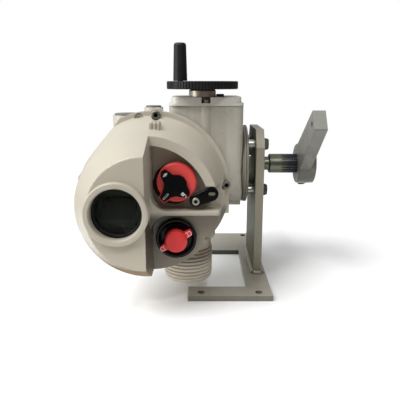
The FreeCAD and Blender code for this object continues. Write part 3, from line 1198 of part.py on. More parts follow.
def make_front_cover():
    rim = cylinder("drum_rim_r", "6", ("drum_x", "cover_rim_y + 6", "drum_z"), "front")
    lugs = [cylinder("screw_lug_r", "6", (x, "cover_rim_y + 6", z), "front") for x, z in screw_places()]
    rim = cut(rim, chord_tool(0.0))
    skirt = oblique(("cover_base_r", ("drum_x", "cover_rim_y + 1", "drum_z")),
                    ("cover_step_r", ("cover_x", "cover_step_y", "cover_z")))
    skirt = cut(skirt, chord_tool(0.0))
    raised = cone("cover_step_r", "cover_face_r", "cover_step_y - cover_face_y",
                  ("cover_x", "cover_step_y", "cover_z"), "front")
    raised = rounded(raised, "2.5", lambda edge: edge.BoundBox.YMax < amount("cover_face_y") + 0.01)
    ring = cylinder("window_ring_r", "30", ("window_x", "window_front_y + 30", "window_z"), "front")
    ring = rounded(ring, "2", lambda edge: edge.BoundBox.YMax < amount("window_front_y") + 0.01)

    right_side = slanted_block("cover_face_y - 30", "cover_step_y", "-20", "400")
    upper_tool = slanted_block("cover_face_y - 30", "upper_floor_y", "rib_top_z", "400")
    upper_tool = rounded(upper_tool, "pocket_corner_r",
                         lambda edge: is_depth_edge(edge, amount("rib_top_z")))
    upper_round = cylinder("rim_inner_r", "100", ("cover_x", "upper_floor_y", "cover_z"), "front")
    upper_pocket = common(upper_tool, upper_round)
    latch_way = box(("cover_x + 60", "cover_face_y - 30", "rib_top_z"),
                    ("cover_x + 140", "upper_floor_y", "latch_way_z"))
    lower_tool = slanted_block("cover_face_y - 30", "lower_floor_y", "-20", "rib_low_z")
    lower_tool = rounded(lower_tool, "pocket_corner_r",
                         lambda edge: is_depth_edge(edge, amount("rib_low_z")))
    pad = box(("drum_x - 1", "cover_rim_y - pad_deep", "drum_z + pad_low"),
              ("drum_x + pad_wide", "cover_rim_y", "drum_z + pad_high"))
    pad = rounded(pad, "2", lambda edge: edge.BoundBox.ZMin > amount("drum_z + pad_high") - 0.1)
    pad_grooves = [cylinder("pad_groove_r", "16",
                            (f"drum_x + {x}", "cover_rim_y - pad_deep", "drum_z + pad_low"))
                   for x in (3.5, 8.5)]
    form = fuse(cut(fuse(skirt, raised), right_side, upper_pocket, latch_way, lower_tool), ring, rim, *lugs,
                cut(pad, *pad_grooves))

    base_hollow = oblique(("cover_base_r - cover_wall", ("drum_x", "cover_rim_y + 8", "drum_z")),
                          ("cover_step_r - cover_wall - 3", ("drum_x - 2.5", "upper_floor_y + cover_wall",
                                                            "drum_z - 8")))
    posts = [cylinder("screw_lug_r", "40", (x, "cover_rim_y + 20", z), "front") for x, z in screw_places()]
    left_hollow = cone("cover_step_r - 6", "cover_face_r - 7", "upper_floor_y - cover_face_y",
                       ("cover_x", "upper_floor_y + cover_wall + 0.5", "cover_z"), "front")
    left_keep = box((-250, "cover_face_y - 5", 0), ("cover_edge_x - cover_wall", "upper_floor_y + 20", 300))
    tunnel = cylinder("window_r + 2.2", "60", ("window_x", "glass_y + 60", "window_z"), "front")
    opening = cylinder("window_r", "60", ("window_x", "glass_y + 20", "window_z"), "front")
    mouth = cone("window_r", "window_r + 1.2", "3", ("window_x", "window_front_y + 3", "window_z"), "front")
    shaft_holes = [cylinder("selector_shaft_r + 0.1", "60", (x, "upper_floor_y + 20", z), "front")
                   for x, z in (("upper_x", "upper_z"), ("lower_x", "lower_z"))]
    latch_hole = cylinder("latch_screw_r + 0.05", "9", ("latch_x", "upper_floor_y + 4", "latch_z"), "front")
    screw_holes = [cylinder("screw_r + 0.4", "18", (x, "cover_rim_y + 10", z), "front")
                   for x, z in screw_places()]
    head_room = [cylinder("screw_head_r + 1", "60", (x, "cover_rim_y", z), "front")
                 for x, z in screw_places(FRONT_SCREW_ANGLES)]
    dimple_x, dimple_z = "drum_x + dimple_x", "drum_z + dimple_z"
    dimple = cylinder("dimple_r", "3", (dimple_x, "cover_rim_y + 1.4", dimple_z), "front")
    dimple_hole = cylinder("dimple_hole_r", "6", (dimple_x, "cover_rim_y + 4", dimple_z), "front")
    base_hollow = cut(base_hollow, chord_tool(amount("cover_wall")))
    form = cut_each(form, cut(base_hollow, *posts), common(left_hollow, left_keep), tunnel, opening, mouth)
    form = cut_each(form, *head_room, dimple, dimple_hole)
    node("front_cover", cut(form, latch_hole, *shaft_holes, *screw_holes))


def make_cover_hardware():
    screws = [socket_screw("screw_head_r", "7", "screw_r", "24", (x, "cover_rim_y", z), "front")
              for x, z in screw_places(FRONT_SCREW_ANGLES)]
    screws += [socket_screw("screw_head_r", "7", "screw_r", "30", (x, "drum_front_y + 24", z), "rear")
               for x, z in screw_places(REAR_SCREW_ANGLES)]
    node("cover_screws", group(*screws))
    at = ("drum_x", "drum_front_y", "drum_z")
    gasket = cut(cylinder("drum_rim_r - 0.5", "gasket_thick", at, "front"), chord_tool(0.5))
    inside = cylinder("drum_rim_r - 10", "gasket_thick + 2", ("drum_x", "drum_front_y + 1", "drum_z"),
                      "front")
    gasket = cut(gasket, cut(inside, chord_tool(6.0)))
    holes = [cylinder("screw_r + 0.4", "4", (x, "drum_front_y + 2", z), "front") for x, z in screw_places()]
    node("cover_gasket", cut(gasket, *holes))
    glass_at = ("window_x", "glass_y + glass_thick", "window_z")
    node("window_glass", turned([(0, 0), ("window_r + 2", 0), ("window_r + 2", "glass_thick"),
                                 (0, "glass_thick")], glass_at, "front"))
    gasket_at = ("window_x", "glass_y", "window_z")
    node("window_gasket", turned([("window_r - 3", 0), ("window_r - 0.1", 0), ("window_r - 0.1", 3),
                                  ("window_r - 1.5", 3)], gasket_at, "front"))


# ---------------------------------------------------------------- selectors and latch

def make_upper_selector():
    bezel_at = ("upper_x", "upper_floor_y", "upper_z")
    base_at = ("upper_x - upper_base_shift", "upper_floor_y", "upper_z - upper_base_shift")
    base = turned([(0, 0), ("upper_bezel_r", 0), ("upper_bezel_r", 5), ("upper_bezel_r - 1.5", 6.5),
                   (0, 6.5)], base_at, "front")
    bore = cylinder("selector_shaft_r + 0.3", "10", ("upper_x", "upper_floor_y + 1", "upper_z"), "front")
    node("upper_bezel", cut(base, bore))
    face = "upper_floor_y - upper_front_y"
    selector = turned([
        (0, -16), ("selector_shaft_r", -16), ("selector_shaft_r", 7), ("upper_r - 1", 7),
        ("upper_r", 8), ("upper_r", f"{face} - 1.8"), ("upper_r - 1.8", face), (0, face),
    ], bezel_at, "front")
    node("upper_selector_knob", selector)
    lobes = [(-20, 9), (-19, 15), (-15, 18), (-10, 15), (-4.5, 10.5), (3.5, 10.5), (9.5, 7.5), (13, 2),
             (13.5, -4), (16.5, -10), (17, -14.5), (13, -19), (6, -18), (-1, -17), (-7.5, -18.5), (-12, -22),
             (-17, -24.5), (-21.5, -18.5), (-18.5, -12.5), (-16, -5), (-16, 1)]
    pointer = plate(lobes, 5, ("upper_x", "upper_front_y", "upper_z"), "front")
    pointer = rounded(pointer, "1.2", lambda edge: edge.BoundBox.YLength > 4.9)
    node("upper_pointer", pointer)


def make_lower_selector():
    at = ("lower_x", "lower_floor_y", "lower_z")
    bezel = turned([
        ("selector_shaft_r + 0.3", 0), ("lower_bezel_r", 0), ("lower_bezel_r", 6),
        ("lower_bezel_r - 1.2", 7.4),
        ("lower_bezel_r - 3.4", 7.4), ("lower_bezel_r - 7", 4.2), ("selector_shaft_r + 0.3", 3),
    ], at, "front")
    node("lower_bezel", bezel)
    face = "lower_floor_y - lower_front_y"
    knob = turned([
        (0, -12), ("selector_shaft_r", -12), ("selector_shaft_r", 7.8), ("lower_knob_r - 0.8", 7.8),
        ("lower_knob_r", 8.8), ("lower_knob_r", f"{face} - 2.2"), ("lower_knob_r - 0.9", f"{face} - 0.7"),
        ("lower_knob_r - 2.6", face), (0, face),
    ], at, "front")
    wing = plate([(-23.6, -1.6), (-22.6, -3.4), (-14, -4.4), (14, -4.4), (22.6, -3.4), (23.6, -1.6),
                  (23.6, 1.6), (22.6, 3.4), (14, 4.4), (-14, 4.4), (-22.6, 3.4), (-23.6, 1.6)], 9.4,
                 ("lower_x", "lower_floor_y - 8", "lower_z"), "front", 31.0)
    node("lower_selector_knob", fuse(knob, wing))


def make_latch():
    at = ("latch_x", "latch_y", "latch_z")
    turn = amount("latch_angle")
    bar = plate([(0, "-latch_root_r"), ("latch_length", "-latch_eye_r"), ("latch_length", "latch_eye_r"),
                 (0, "latch_root_r")], "latch_thick", at, "front", turn)
    far = Rotation(Vector(0, 0, 1), turn).multVec(Vector(amount("latch_length"), 0, 0))
    eye_at = (f"latch_x + {far.x}", "latch_y", f"latch_z + {far.y}")
    arm = fuse(bar, cylinder("latch_root_r", "latch_thick", at, "front"),
               cylinder("latch_eye_r", "latch_thick", eye_at, "front"))
    front_y = amount("latch_y - latch_thick")
    arm = rounded(arm, "1.4", lambda edge: edge.BoundBox.YMax < front_y + 0.01)
    eye = [cylinder("latch_slot_r", "latch_thick + 2",
                    (f"latch_x + {far.x} + {shift}", "latch_y + 1", f"latch_z + {far.y}"), "front")
           for shift in (-1.5, 0.5, 2.5)]
    pivot = cylinder("latch_slot_r", "latch_thick + 2", ("latch_x", "latch_y + 1", "latch_z"), "front")
    node("padlock_latch", cut(arm, fuse(*eye), pivot))
    inner, height = "latch_screw_r + 0.15", "upper_floor_y - latch_y - 0.3"
    post = turned([(inner, 0), ("latch_post_r", 0), ("latch_post_r", height), (inner, height)],
                  ("latch_x", "upper_floor_y", "latch_z"), "front")
    node("latch_post", post)
    head_at = ("latch_x", "latch_y - latch_thick - 0.3", "latch_z")
    node("latch_screw", socket_screw("latch_head_r", "3", "latch_screw_r", "24", head_at, "front"))


# ---------------------------------------------------------------- electronics

RELAYS = 4
TERMINALS = 6


def make_electronics():
    wall_y = "drum_back_y - drum_wall"
    board_y = f"{wall_y} - board_gap"
    board = box(("drum_x - 64", f"{board_y} - board_thick", "drum_z - 20"),
                ("drum_x + 36", board_y, "drum_z + 50"))
    node("control_board", board)
    relays = []
    for i in range(RELAYS):
        left = f"drum_x - 60 + {i} * relay_pitch"
        relays.append(box((left, f"{wall_y} - 30", "drum_z + 28"),
                          (f"{left} + relay_wide", f"{board_y} - board_thick", "drum_z + 48")))
    node("control_relays", group(*relays))
    core = box(("drum_x - 46", f"{wall_y} - 46", "drum_z - 74"),
               ("drum_x + 2", f"{wall_y} - 2", "drum_z - 28"))
    node("transformer", core)
    block = box(("drum_x - 40", f"{wall_y} - 48", "drum_z + 58"),
                ("drum_x + 30", f"{wall_y} - 20", "drum_z + 74"))
    wells = [cylinder("terminal_r", "30",
                      (f"drum_x - 34 + {i} * terminal_pitch", f"{wall_y} - 34", "drum_z + 70"))
             for i in range(TERMINALS)]
    node("terminal_block", cut(block, *wells))
    screen_y = "glass_y + 14"
    screen = box(("window_x - 22", screen_y, "window_z - 14"),
                 ("window_x + 22", f"{screen_y} + 5", "window_z + 14"))
    node("lcd_display", screen)
    node("lcd_board", box(("window_x - 27", f"{screen_y} + 5.2", "window_z - 24"),
                          ("window_x + 27", f"{screen_y} + 5.2 + board_thick", "window_z + 24")))


# ---------------------------------------------------------------- build, check and write

def build():
    make_base_plate()
    make_upright()
    make_weld_beads()
    make_bracket_hardware()
    make_gear_housing()
    make_lid()
    make_handwheel_boss()
    make_output_end()
    make_output_shaft()
    make_worm_wheel()
    make_output_bearings()
    make_lever()
    make_worm_shaft()
    make_gears()
    make_handwheel()
    make_motor()
    make_control_housing()
    make_entry_plugs()
    make_front_cover()
    make_cover_hardware()
    make_upper_selector()
    make_lower_selector()
    make_latch()
    make_electronics()


def check_and_write():
    """Stop on any failed object or bad shape, then write one file for each sub-part."""
    doc.recompute()
    failed = [obj.Label for obj in doc.Objects if "Invalid" in obj.State or "Error" in obj.State]
    if failed:
        raise RuntimeError("failed objects: " + ", ".join(failed))
    for name, obj in nodes.items():
        shape = obj.Shape
        if shape.isNull() or not shape.isValid() or not shape.Solids:
            raise RuntimeError(f"bad shape: {name}")
    os.makedirs("parts", exist_ok=True)
    for name, obj in nodes.items():
        obj.Shape.exportStep(os.path.join("parts", name + ".step"))
        box_size = obj.Shape.BoundBox
        print(f"{name:24s} solids {len(obj.Shape.Solids):3d}  volume {obj.Shape.Volume:12.1f}"
              f"  x {box_size.XMin:7.1f} {box_size.XMax:7.1f}  y {box_size.YMin:7.1f} {box_size.YMax:7.1f}"
              f"  z {box_size.ZMin:7.1f} {box_size.ZMax:7.1f}")


build()
check_and_write()
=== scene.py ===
"""Looks of the motorized valve actuator: materials, moulded and printed details, floor, light and camera."""

import json
import math

import bpy
from mathutils import Matrix, Vector


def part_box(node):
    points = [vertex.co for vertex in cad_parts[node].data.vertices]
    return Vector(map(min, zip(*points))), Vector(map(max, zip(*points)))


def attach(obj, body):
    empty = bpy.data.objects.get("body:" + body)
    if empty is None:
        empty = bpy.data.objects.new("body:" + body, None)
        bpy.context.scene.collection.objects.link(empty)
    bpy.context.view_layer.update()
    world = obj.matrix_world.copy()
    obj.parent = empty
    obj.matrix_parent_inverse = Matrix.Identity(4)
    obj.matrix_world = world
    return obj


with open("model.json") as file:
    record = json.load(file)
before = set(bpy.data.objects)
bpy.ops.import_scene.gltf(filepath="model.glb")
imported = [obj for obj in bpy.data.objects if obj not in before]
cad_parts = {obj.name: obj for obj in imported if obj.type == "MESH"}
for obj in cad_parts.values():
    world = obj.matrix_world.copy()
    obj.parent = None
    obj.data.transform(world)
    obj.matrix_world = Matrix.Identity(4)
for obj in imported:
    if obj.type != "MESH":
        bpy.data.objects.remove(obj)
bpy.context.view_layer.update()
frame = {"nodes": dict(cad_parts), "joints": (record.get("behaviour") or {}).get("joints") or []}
nodes = frame["nodes"]
MM = 0.001

SHARP_ANGLE = math.radians(32)
WING_ANGLE = 31.0
SOCKET_LIP = 0.2 * MM
SOCKET_TOP = 0.6 * MM
SOCKET_REACH = 4.5 * MM

FLOOR_REACH = 2.0
FLOOR_FADE_START = 0.32
FLOOR_FADE_END = 0.90

SKY_DIRECTION = (-0.50, 0.28, 0.82)
SKY_LOW = (0.118, 0.104, 0.086, 1.0)
SKY_MIDDLE = (0.205, 0.195, 0.178, 1.0)
SKY_HIGH = (0.80, 0.82, 0.84, 1.0)
WHITE = (1.0, 1.0, 1.0, 1.0)
LIGHT_TARGET = (-0.03, -0.03, 0.16)

CAMERA_PLACE = (-0.0436, -0.7805, 0.3029)
CAMERA_TILT = math.radians(76.34)
CAMERA_LENS = 43.13
SENSOR_WIDTH = 36.0


# ---------------------------------------------------------------- material helpers

class Surface:
    """A Principled material with short ways to add colour, roughness and relief patterns."""

    def __init__(self, name, colour, roughness, metallic=0.0, coat=0.0, specular=0.5):
        self.material = bpy.data.materials.new(name)
        self.material.use_nodes = True
        self.tree = self.material.node_tree
        self.shader = self.tree.nodes["Principled BSDF"]
        self.shader.inputs["Base Color"].default_value = (*colour, 1.0)
        self.shader.inputs["Roughness"].default_value = roughness
        self.shader.inputs["Metallic"].default_value = metallic
        self.shader.inputs["Coat Weight"].default_value = coat
        self.shader.inputs["Specular IOR Level"].default_value = specular
        self.material.diffuse_color = (*colour, 1.0)
        self.coordinates = self.node("TexCoord").outputs["Object"]
        self.colour = None
        self.relief = None

    def node(self, kind, **values):
        """A new shader node of that kind with its properties set."""
        made = self.tree.nodes.new("ShaderNode" + kind)
        for key, value in values.items():
            setattr(made, key, value)
        return made

    def link(self, source, target):
        self.tree.links.new(source, target)

    def noise(self, scale, detail=3.0, roughness=0.55, stretch=None):
        """A noise value from 0 to 1, its scale in features per metre."""
        made = self.node("TexNoise")
        made.inputs["Scale"].default_value = scale
        made.inputs["Detail"].default_value = detail
        made.inputs["Roughness"].default_value = roughness
        source = self.coordinates
        if stretch:
            mapping = self.node("Mapping")
            mapping.inputs["Scale"].default_value = stretch
            self.link(source, mapping.inputs["Vector"])
            source = mapping.outputs["Vector"]
        self.link(source, made.inputs["Vector"])
        return made.outputs["Fac"]

    def ramp(self, value, low, high, start=0.0, end=1.0):
        """Maps value from low..high to start..end, held at both ends."""
        made = self.node("MapRange")
        made.inputs["From Min"].default_value = low
        made.inputs["From Max"].default_value = high
        made.inputs["To Min"].default_value = start
        made.inputs["To Max"].default_value = end
        self.link(value, made.inputs["Value"])
        return made.outputs["Result"]

    def tint(self, mask, colour):
        """Blends the base colour towards another one where mask is high."""
        mix = self.node("Mix", data_type="RGBA")
        base = mix.inputs[6]
        if self.colour is None:
            base.default_value = self.shader.inputs["Base Color"].default_value
        else:
            self.link(self.colour, base)
        mix.inputs[7].default_value = (*colour, 1.0)
        self.link(mask, mix.inputs[0])
        self.colour = mix.outputs[2]
        self.link(self.colour, self.shader.inputs["Base Color"])
        return self

    def dull(self, mask):
        """Takes the gloss away where mask is high."""
        for name in ("Coat Weight", "Specular IOR Level"):
            level = self.shader.inputs[name].default_value
            self.link(self.ramp(mask, 0.0, 1.0, level, 0.0), self.shader.inputs[name])
        return self

    def rough(self, value, low, high):
        """Varies the roughness from low to high with a noise value."""
        self.link(self.ramp(value, 0.3, 0.7, low, high), self.shader.inputs["Roughness"])
        return self

    def bump(self, height, depth, strength=1.0):
        """Adds relief of the given depth in metres."""
        made = self.node("Bump")
        made.inputs["Strength"].default_value = strength
        made.inputs["Distance"].default_value = depth
        self.link(height, made.inputs["Height"])
        if self.relief is not None:
            self.link(self.relief, made.inputs["Normal"])
        self.relief = made.outputs["Normal"]
        self.link(self.relief, self.shader.inputs["Normal"])
        return self

    def soften(self, radius):
        """Rounds the look of every sharp edge by radius metres."""
        made = self.node("Bevel", samples=4)
        made.inputs["Radius"].default_value = radius
        self.relief = made.outputs["Normal"]
        self.rounded = made.outputs["Normal"]
        self.link(self.relief, self.shader.inputs["Normal"])
        return self

    def along(self, axis):
        """Distance along an axis in metres: 0 is X, 1 is Y and 2 is Z."""
        split = self.node("SeparateXYZ")
        self.link(self.coordinates, split.inputs["Vector"])
        return split.outputs[axis]

    def facing(self, axis):
        """How far the surface faces along an axis, from -1 to 1."""
        split = self.node("SeparateXYZ")
        self.link(self.node("NewGeometry").outputs["Normal"], split.inputs["Vector"])
        return split.outputs[axis]

    def edges(self):
        """A mask that is high along the edges that soften() rounds."""
        facing = self.node("NewGeometry").outputs["Normal"]
        compare = self.node("VectorMath", operation="DOT_PRODUCT")
        self.link(self.rounded, compare.inputs[0])
        self.link(facing, compare.inputs[1])
        return self.ramp(compare.outputs["Value"], 0.99, 0.88)

    def both(self, first, second, share=0.5):
        """A mask that is high, up to share, where two masks are high."""
        product = self.node("Math", operation="MULTIPLY")
        self.link(first, product.inputs[0])
        self.link(second, product.inputs[1])
        return self.ramp(product.outputs["Value"], 0.0, 1.0, 0.0, share)

    def crevices(self, reach):
        """A mask that is high in corners and gaps within reach metres."""
        made = self.node("AmbientOcclusion", samples=8)
        made.inputs["Distance"].default_value = reach
        return self.ramp(made.outputs["AO"], 0.75, 0.25)


def paint(name, colour, roughness=0.36, soft_edge=0.0012, grain=0.00005, dust_and_shade=0.55, gloss=0.5):
    """Sprayed paint over a casting: mottling, orange peel, worn edges, and dust and painted shade in
    corners.
    """
    surface = Surface(name, colour, roughness, coat=0.4 * gloss, specular=gloss)
    surface.soften(soft_edge)
    darker = tuple(c * 0.86 for c in colour)
    dusty_shade = tuple(c * share for c, share in zip(colour, (0.52, 0.47, 0.40)))
    paler = tuple(min(1.0, c * 1.16) for c in colour)
    surface.tint(surface.ramp(surface.noise(11.0, 5.0), 0.35, 0.7, 0.0, 0.5), darker)
    surface.tint(surface.ramp(surface.noise(260.0, 3.0), 0.62, 0.75, 0.0, 0.18), darker)
    # dust and painted shade: darker in the corners and gaps that ambient occlusion finds
    surface.tint(surface.ramp(surface.crevices(0.010), 0.0, 1.0, 0.0, dust_and_shade), dusty_shade)
    surface.tint(surface.ramp(surface.edges(), 0.0, 1.0, 0.0, 0.5), paler)
    surface.rough(surface.noise(45.0, 4.0), roughness - 0.08, roughness + 0.1)
    surface.bump(surface.noise(380.0, 3.0), grain)
    surface.bump(surface.noise(48.0, 2.0), grain * 5)
    return surface


def steel(name, colour, roughness, grain=0.00004, along=(1.0, 1.0, 1.0)):
    """Machined or plated steel with fine tool marks and a little tarnish."""
    surface = Surface(name, colour, roughness, metallic=1.0)
    surface.soften(0.0005)
    tarnish = tuple(c * 0.6 for c in colour)
    grime_and_shade = tuple(c * 0.25 for c in colour)
    surface.tint(surface.ramp(surface.noise(70.0, 5.0), 0.45, 0.75, 0.0, 0.5), tarnish)
    # grime and painted shade: darker in the corners and gaps that ambient occlusion finds
    surface.tint(surface.ramp(surface.crevices(0.004), 0.0, 1.0, 0.0, 0.7), grime_and_shade)
    surface.rough(surface.noise(160.0, 3.0), roughness - 0.08, roughness + 0.12)
    surface.bump(surface.noise(900.0, 2.0, stretch=along), grain)
    return surface


def moulded(name, colour, roughness, coat=0.0, grain=0.00003, specular=0.5):
    """Moulded plastic: a faint sheen variation and fine texture."""
    surface = Surface(name, colour, roughness, coat=coat, specular=specular)
    surface.soften(0.0006)
    paler = tuple(min(1.0, c * 1.3) for c in colour)
    worn = tuple(min(1.0, c * 1.6) for c in colour)
    surface.tint(surface.ramp(surface.noise(25.0, 3.0), 0.4, 0.7, 0.0, 0.3), paler)
    surface.tint(surface.ramp(surface.edges(), 0.0, 1.0, 0.0, 0.35), worn)
    surface.rough(surface.noise(90.0, 3.0), max(0.04, roughness - 0.05), roughness + 0.07)
    surface.bump(surface.noise(1300.0, 2.0), grain)
    return surface


# ---------------------------------------------------------------- materials

def cover_paint():
    """Cream cover with painted shade in its lower pocket and on its down-facing faces near the bottom, and
    warm staining along its lower edge.
    """
    surface = paint("cover_paint", (0.490, 0.449, 0.368), soft_edge=0.0016, dust_and_shade=0.3)
    low_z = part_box("front_cover")[0].z
    bezel_low, bezel_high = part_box("lower_bezel")
    below = surface.ramp(surface.along(2), bezel_high.z + 0.012, bezel_high.z + 0.002)
    beside = surface.ramp(surface.along(0), bezel_low.x - 0.016, bezel_low.x - 0.013)
    behind = surface.ramp(surface.along(1), bezel_low.y - 0.0236, bezel_low.y - 0.0136)
    pocket = surface.both(surface.both(below, beside, 1.0), behind, 0.85)
    # painted shade over the lower pocket's floor and walls
    surface.tint(pocket, (0.160, 0.134, 0.098))
    # deeper painted shadow at the pocket's left, beside the lower bezel
    shadow = surface.ramp(surface.along(0), bezel_high.x + 0.010, bezel_low.x)
    surface.tint(surface.both(pocket, shadow, 0.85), (0.060, 0.049, 0.036))
    # painted shade: down-facing faces near the cover's bottom turn warm dark brown and lose their gloss
    underside = surface.ramp(surface.facing(2), -0.25, -0.60)
    lowest = surface.ramp(surface.along(2), low_z + 0.060, low_z + 0.020)
    low_shade = surface.both(underside, lowest, 1.0)
    surface.tint(low_shade, (0.240, 0.180, 0.115))
    surface.dull(low_shade)
    surface.tint(surface.ramp(surface.along(2), low_z + 0.085, low_z, 0.0, 0.25), (0.40, 0.32, 0.22))
    return surface


def drum_paint():
    """Pale drum with warm painted shade around its underside."""
    surface = paint("drum_paint", (0.560, 0.525, 0.460))
    low_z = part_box("control_housing")[0].z
    # painted shade: darker and warmer towards the underside
    low_shade = surface.ramp(surface.along(2), low_z + 0.045, low_z + 0.010, 0.0, 0.85)
    surface.tint(low_shade, (0.200, 0.150, 0.100))
    return surface


def motor_paint():
    """Ribbed motor cover with painted shade where it goes up under the control housing."""
    surface = paint("motor_paint", (0.620, 0.560, 0.460), soft_edge=0.0010)
    top_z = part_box("motor_cover")[1].z
    # painted shade under the control housing, darkest at the motor's top
    under_housing_shade = surface.ramp(surface.along(2), top_z - 0.016, top_z - 0.003, 0.0, 0.75)
    surface.tint(under_housing_shade, (0.190, 0.160, 0.120))
    return surface


def gearbox_paint():
    """Grey-cream housing with faint pale painted highlight streaks down its sides and darker streaks between
    them.
    """
    surface = paint("gearbox_paint", (0.490, 0.470, 0.400), 0.30, 0.0014)
    highlight_streaks = surface.noise(55.0, 3.0, stretch=(1.0, 1.0, 0.07))
    # pale vertical streaks are painted highlights; darker streaks lie between them
    surface.tint(surface.ramp(highlight_streaks, 0.5, 0.72, 0.0, 0.4), (0.66, 0.65, 0.58))
    surface.tint(surface.ramp(highlight_streaks, 0.48, 0.3, 0.0, 0.3), (0.36, 0.34, 0.28))
    return surface


def shaft_steel():
    """Olive oiled steel that turns blue-black along the splines."""
    surface = steel("output_shaft_steel", (0.165, 0.170, 0.132), 0.38)
    splines_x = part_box("output_shaft")[1].x - 0.052
    blued = surface.ramp(surface.along(0), splines_x - 0.004, splines_x + 0.012)
    surface.tint(blued, (0.050, 0.056, 0.062))
    return surface


def lever_paint():
    """Grey lever, brushed lengthways, with brown painted shade towards the hub."""
    surface = paint("lever_paint", (0.222, 0.218, 0.190), 0.36, 0.0009)
    hub_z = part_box("output_shaft")[0].z
    # brown painted shade, darker towards the hub
    low_shade = surface.ramp(surface.along(2), hub_z + 0.075, hub_z, 0.0, 0.68)
    surface.tint(low_shade, (0.075, 0.062, 0.046))
    streaks = surface.noise(60.0, 4.0, stretch=(1.0, 1.0, 0.25))
    surface.tint(surface.ramp(streaks, 0.5, 0.7, 0.0, 0.4), (0.33, 0.325, 0.29))
    return surface


def make_materials():
    """Every look by its short name."""
    looks = {
        "drum": drum_paint(),
        "cover": cover_paint(),
        "cover_shade": paint("cover_shade_paint", (0.085, 0.072, 0.054), soft_edge=0.0016),
        "gearbox": gearbox_paint(),
        # painted light: a lighter copy of the housing paint for the lid, making up for the shade on its
        # front
        "lid": paint("lid_lit_paint", (0.710, 0.700, 0.630), soft_edge=0.0010),
        "motor": motor_paint(),
        # painted light and shade: the base plate gets a lighter copy of the bracket paint, the upright a
        # darker one
        "base": paint("base_lit_paint", (0.330, 0.305, 0.245), 0.42, 0.0006),
        "bracket": paint("bracket_paint", (0.262, 0.236, 0.175), 0.42, 0.0006),
        # painted shade: a darker, duller copy of the bracket paint for the upright's left-facing faces
        "bracket_shaded_side": paint("bracket_shaded_side_paint", (0.115, 0.120, 0.085), 0.62, 0.0006, gloss=0.12),
        "weld": paint("weld_paint", (0.300, 0.272, 0.215), 0.5, 0.0008, 0.00018),
        "flange": paint("flange_paint", (0.235, 0.220, 0.178), 0.42, 0.0008),
        "lever": lever_paint(),
        # painted shade on the base plate's front-facing edges: near black at the rear bar, darker grey at
        # the front bar
        "shaded_dark_edge": paint("shaded_dark_edge_paint", (0.040, 0.040, 0.033), 0.5, 0.0005),
        "base_shaded_edge": paint("base_shaded_edge_paint", (0.170, 0.158, 0.125), 0.5, 0.0005),
        "screw_head": steel("screw_head_steel", (0.30, 0.29, 0.26), 0.3),
        "socket": steel("socket_shadow", (0.020, 0.019, 0.017), 0.5),
        "plug": paint("plug_paint", (0.135, 0.135, 0.105), 0.4, 0.0006),
        "zinc": steel("zinc_plate", (0.52, 0.50, 0.44), 0.34),
        "dark_steel": steel("dark_steel", (0.105, 0.098, 0.085), 0.4),
        "shaft": steel("shaft_steel", (0.165, 0.170, 0.132), 0.38),
        "output_shaft": shaft_steel(),
        "bright": steel("bright_steel", (0.78, 0.78, 0.77), 0.2),
        "bronze": steel("bronze", (0.72, 0.45, 0.19), 0.3),
        "gear": steel("gear_steel", (0.46, 0.46, 0.45), 0.3),
        "laminations": steel("laminations", (0.24, 0.22, 0.20), 0.5, 0.00012, (1.0, 1.0, 6.0)),
        "boss": steel("boss_metal", (0.52, 0.47, 0.39), 0.36),
        "cast": steel("cast_aluminium", (0.62, 0.62, 0.61), 0.45),
        "black": moulded("black_plastic", (0.0105, 0.0105, 0.0110), 0.40, specular=0.28),
        "gloss": moulded("gloss_black", (0.0026, 0.0029, 0.0036), 0.11, grain=0.00001, specular=0.18),
        "red": moulded("red_plastic", (0.65, 0.034, 0.034), 0.34, specular=0.35),
        "red_disc": moulded("red_disc_plastic", (0.70, 0.066, 0.062), 0.40, specular=0.35),
        "rubber": moulded("rubber", (0.015, 0.015, 0.016), 0.62, grain=0.00006, specular=0.2),
        "component": moulded("component_plastic", (0.010, 0.011, 0.012), 0.45),
        "terminal": moulded("terminal_plastic", (0.05, 0.052, 0.048), 0.5),
        "board": moulded("circuit_board", (0.008, 0.035, 0.016), 0.3),
        "screen": moulded("screen", (0.006, 0.008, 0.006), 0.3, grain=0.00001, specular=0.2),
        "marking": moulded("white_marking", (0.78, 0.78, 0.75), 0.5),
    }
    return {key: surface.material for key, surface in looks.items()}


def glass():
    """Faintly tinted clear pane with low reflection."""
    surface = Surface("window_pane", (0.72, 0.78, 0.72), 0.03)
    surface.shader.inputs["Transmission Weight"].default_value = 1.0
    surface.shader.inputs["IOR"].default_value = 1.22
    surface.bump(surface.noise(30.0, 1.0), 0.00002)
    return surface.material


